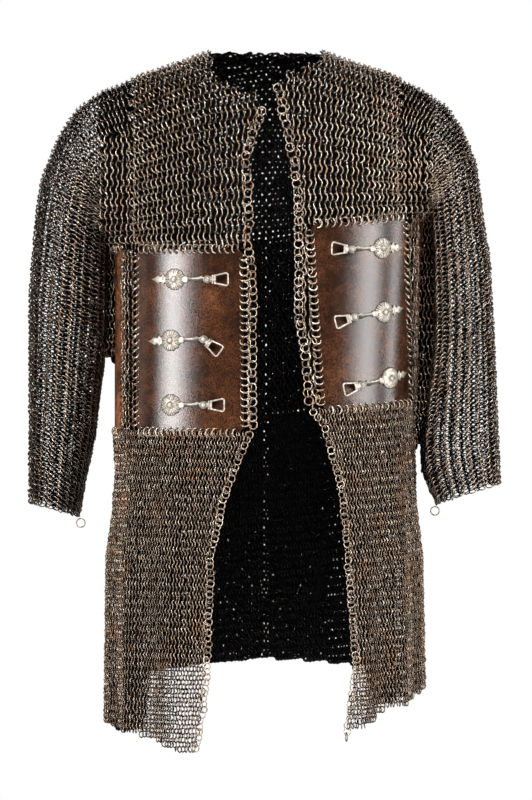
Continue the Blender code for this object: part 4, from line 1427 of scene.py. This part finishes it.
def cast_loop():
    """The loop: an eye round the stud, a neck with two bands, and a wire bent to a trapezium."""
    eye = added(
        bpy.ops.mesh.primitive_torus_add,
        major_segments=32, minor_segments=10, major_radius=eye_radius, minor_radius=eye_wire,
    )
    eye.scale = (1, 1, 0.7)
    mark_tarnish_and_shade(eye, [0.55] * len(eye.data.vertices))
    pieces = [eye, drawn_out(neck_sections, 8)]
    for x, wide, thick in bands:
        band = added(
            bpy.ops.mesh.primitive_cylinder_add,
            vertices=14, radius=thick, depth=wide, location=(x, 0, 0), rotation=(math.pi / 2, 0, 0),
        )
        with edit_mode():
            bpy.ops.mesh.bevel(offset=band_round, segments=2, affect="EDGES", clamp_overlap=True)
        pieces.append(band)
    wire = bpy.data.curves.new("loop_wire", "CURVE")
    wire.dimensions = "3D"
    wire.bevel_depth = loop_wire
    wire.bevel_resolution = 3
    path = half_bend + [(x, -y) for x, y in half_bend[::-1]]
    run = wire.splines.new("POLY")
    run.points.add(len(path) - 1)
    for point, (x, y) in zip(run.points, path):
        point.co = (x, y, 0, 1)
    bent = bpy.data.objects.new("loop_wire", wire)
    bpy.context.collection.objects.link(bent)
    only_selected(bent)
    bpy.ops.object.convert(target="MESH")
    return joined([*pieces, bpy.context.object])


def fitted(piece, name, body, node):
    piece.name = name
    finished(piece, cast_sharpest, pale.material, body, node)


def darken_behind_loop(sheet, hanging):
    """Marks the dark patch on the plate that is seen through a hanging loop."""
    if "loop_dark_patch" not in sheet.attributes:
        sheet.attributes.new("loop_dark_patch", "FLOAT", "POINT")
    onto_loop = hanging.inverted()
    spots = np.array([onto_loop @ vertex.co for vertex in sheet.vertices])
    # The patch is laid where the plate lies behind the loop along the line of sight from straight in front
    sight = onto_loop.to_3x3() @ Vector((0, 1, 0))
    spots = spots - spots[:, 2:] * np.array(sight / sight.z)
    ahead, aside = spots[:, 0], np.abs(spots[:, 1])
    edge = patch_half_width + (ahead - patch_neck) * patch_spread
    past = np.maximum.reduce([patch_start - ahead, ahead - patch_end, aside - edge])
    dark = np.clip(-past / patch_fade, 0, 1)
    kept = np.zeros(len(dark), dtype=np.float32)
    marks = sheet.attributes["loop_dark_patch"].data
    marks.foreach_get("value", kept)
    marks.foreach_set("value", np.maximum(kept, 0.98 * dark).astype(np.float32))


for key, (tilt, droop, with_finial, fluted) in clasps.items():
    side = key.split("_")[0]
    seat = Seat(side, *disc_shares[key], tilt)
    casting = cast_clasp(with_finial, fluted)
    for vertex in casting.data.vertices:
        vertex.co = seat.point(*vertex.co)
    fitted(casting, f"casting_{key}", "shirt", f"clasp_{key}")
    top = disc_height + seat_gap
    rivet = turned([
        (0.0021, -0.0030), (0.0024, -0.0022), (rivet_radius, -0.0021), (rivet_radius, top),
        (0.0027, top + 0.0001), (0.0025, top + 0.0008), (0.0017, top + 0.0014), (0.0006, top + 0.0017),
    ])
    rivet.data.transform(seat.frame(0, 0))
    fitted(rivet, f"rivet_head_{key}", "shirt", f"rivet_{key}")
    top = arm_height + 2 * seat_gap + eye_height
    stud = turned([
        (0.0018, 0.0003), (0.0018, 0.0014), (stud_radius, 0.0015), (stud_radius, top),
        (0.0023, top + 0.0001), (0.0021, top + 0.0006), (0.0013, top + 0.0011), (0.0004, top + 0.0012),
    ])
    stud.data.transform(seat.frame(arm_reach, 0))
    fitted(stud, f"stud_{key}", "shirt", f"pivot_{key}")
    hanging = seat.frame(arm_reach, math.radians(droop)) @ Matrix.Translation((0, 0, loop_lift))
    loop = cast_loop()
    loop.data.transform(hanging)
    fitted(loop, f"wire_loop_{key}", f"loop_{key}", f"loop_{key}")
    darken_behind_loop(plates[f"front_plate_{side}"].data, hanging)
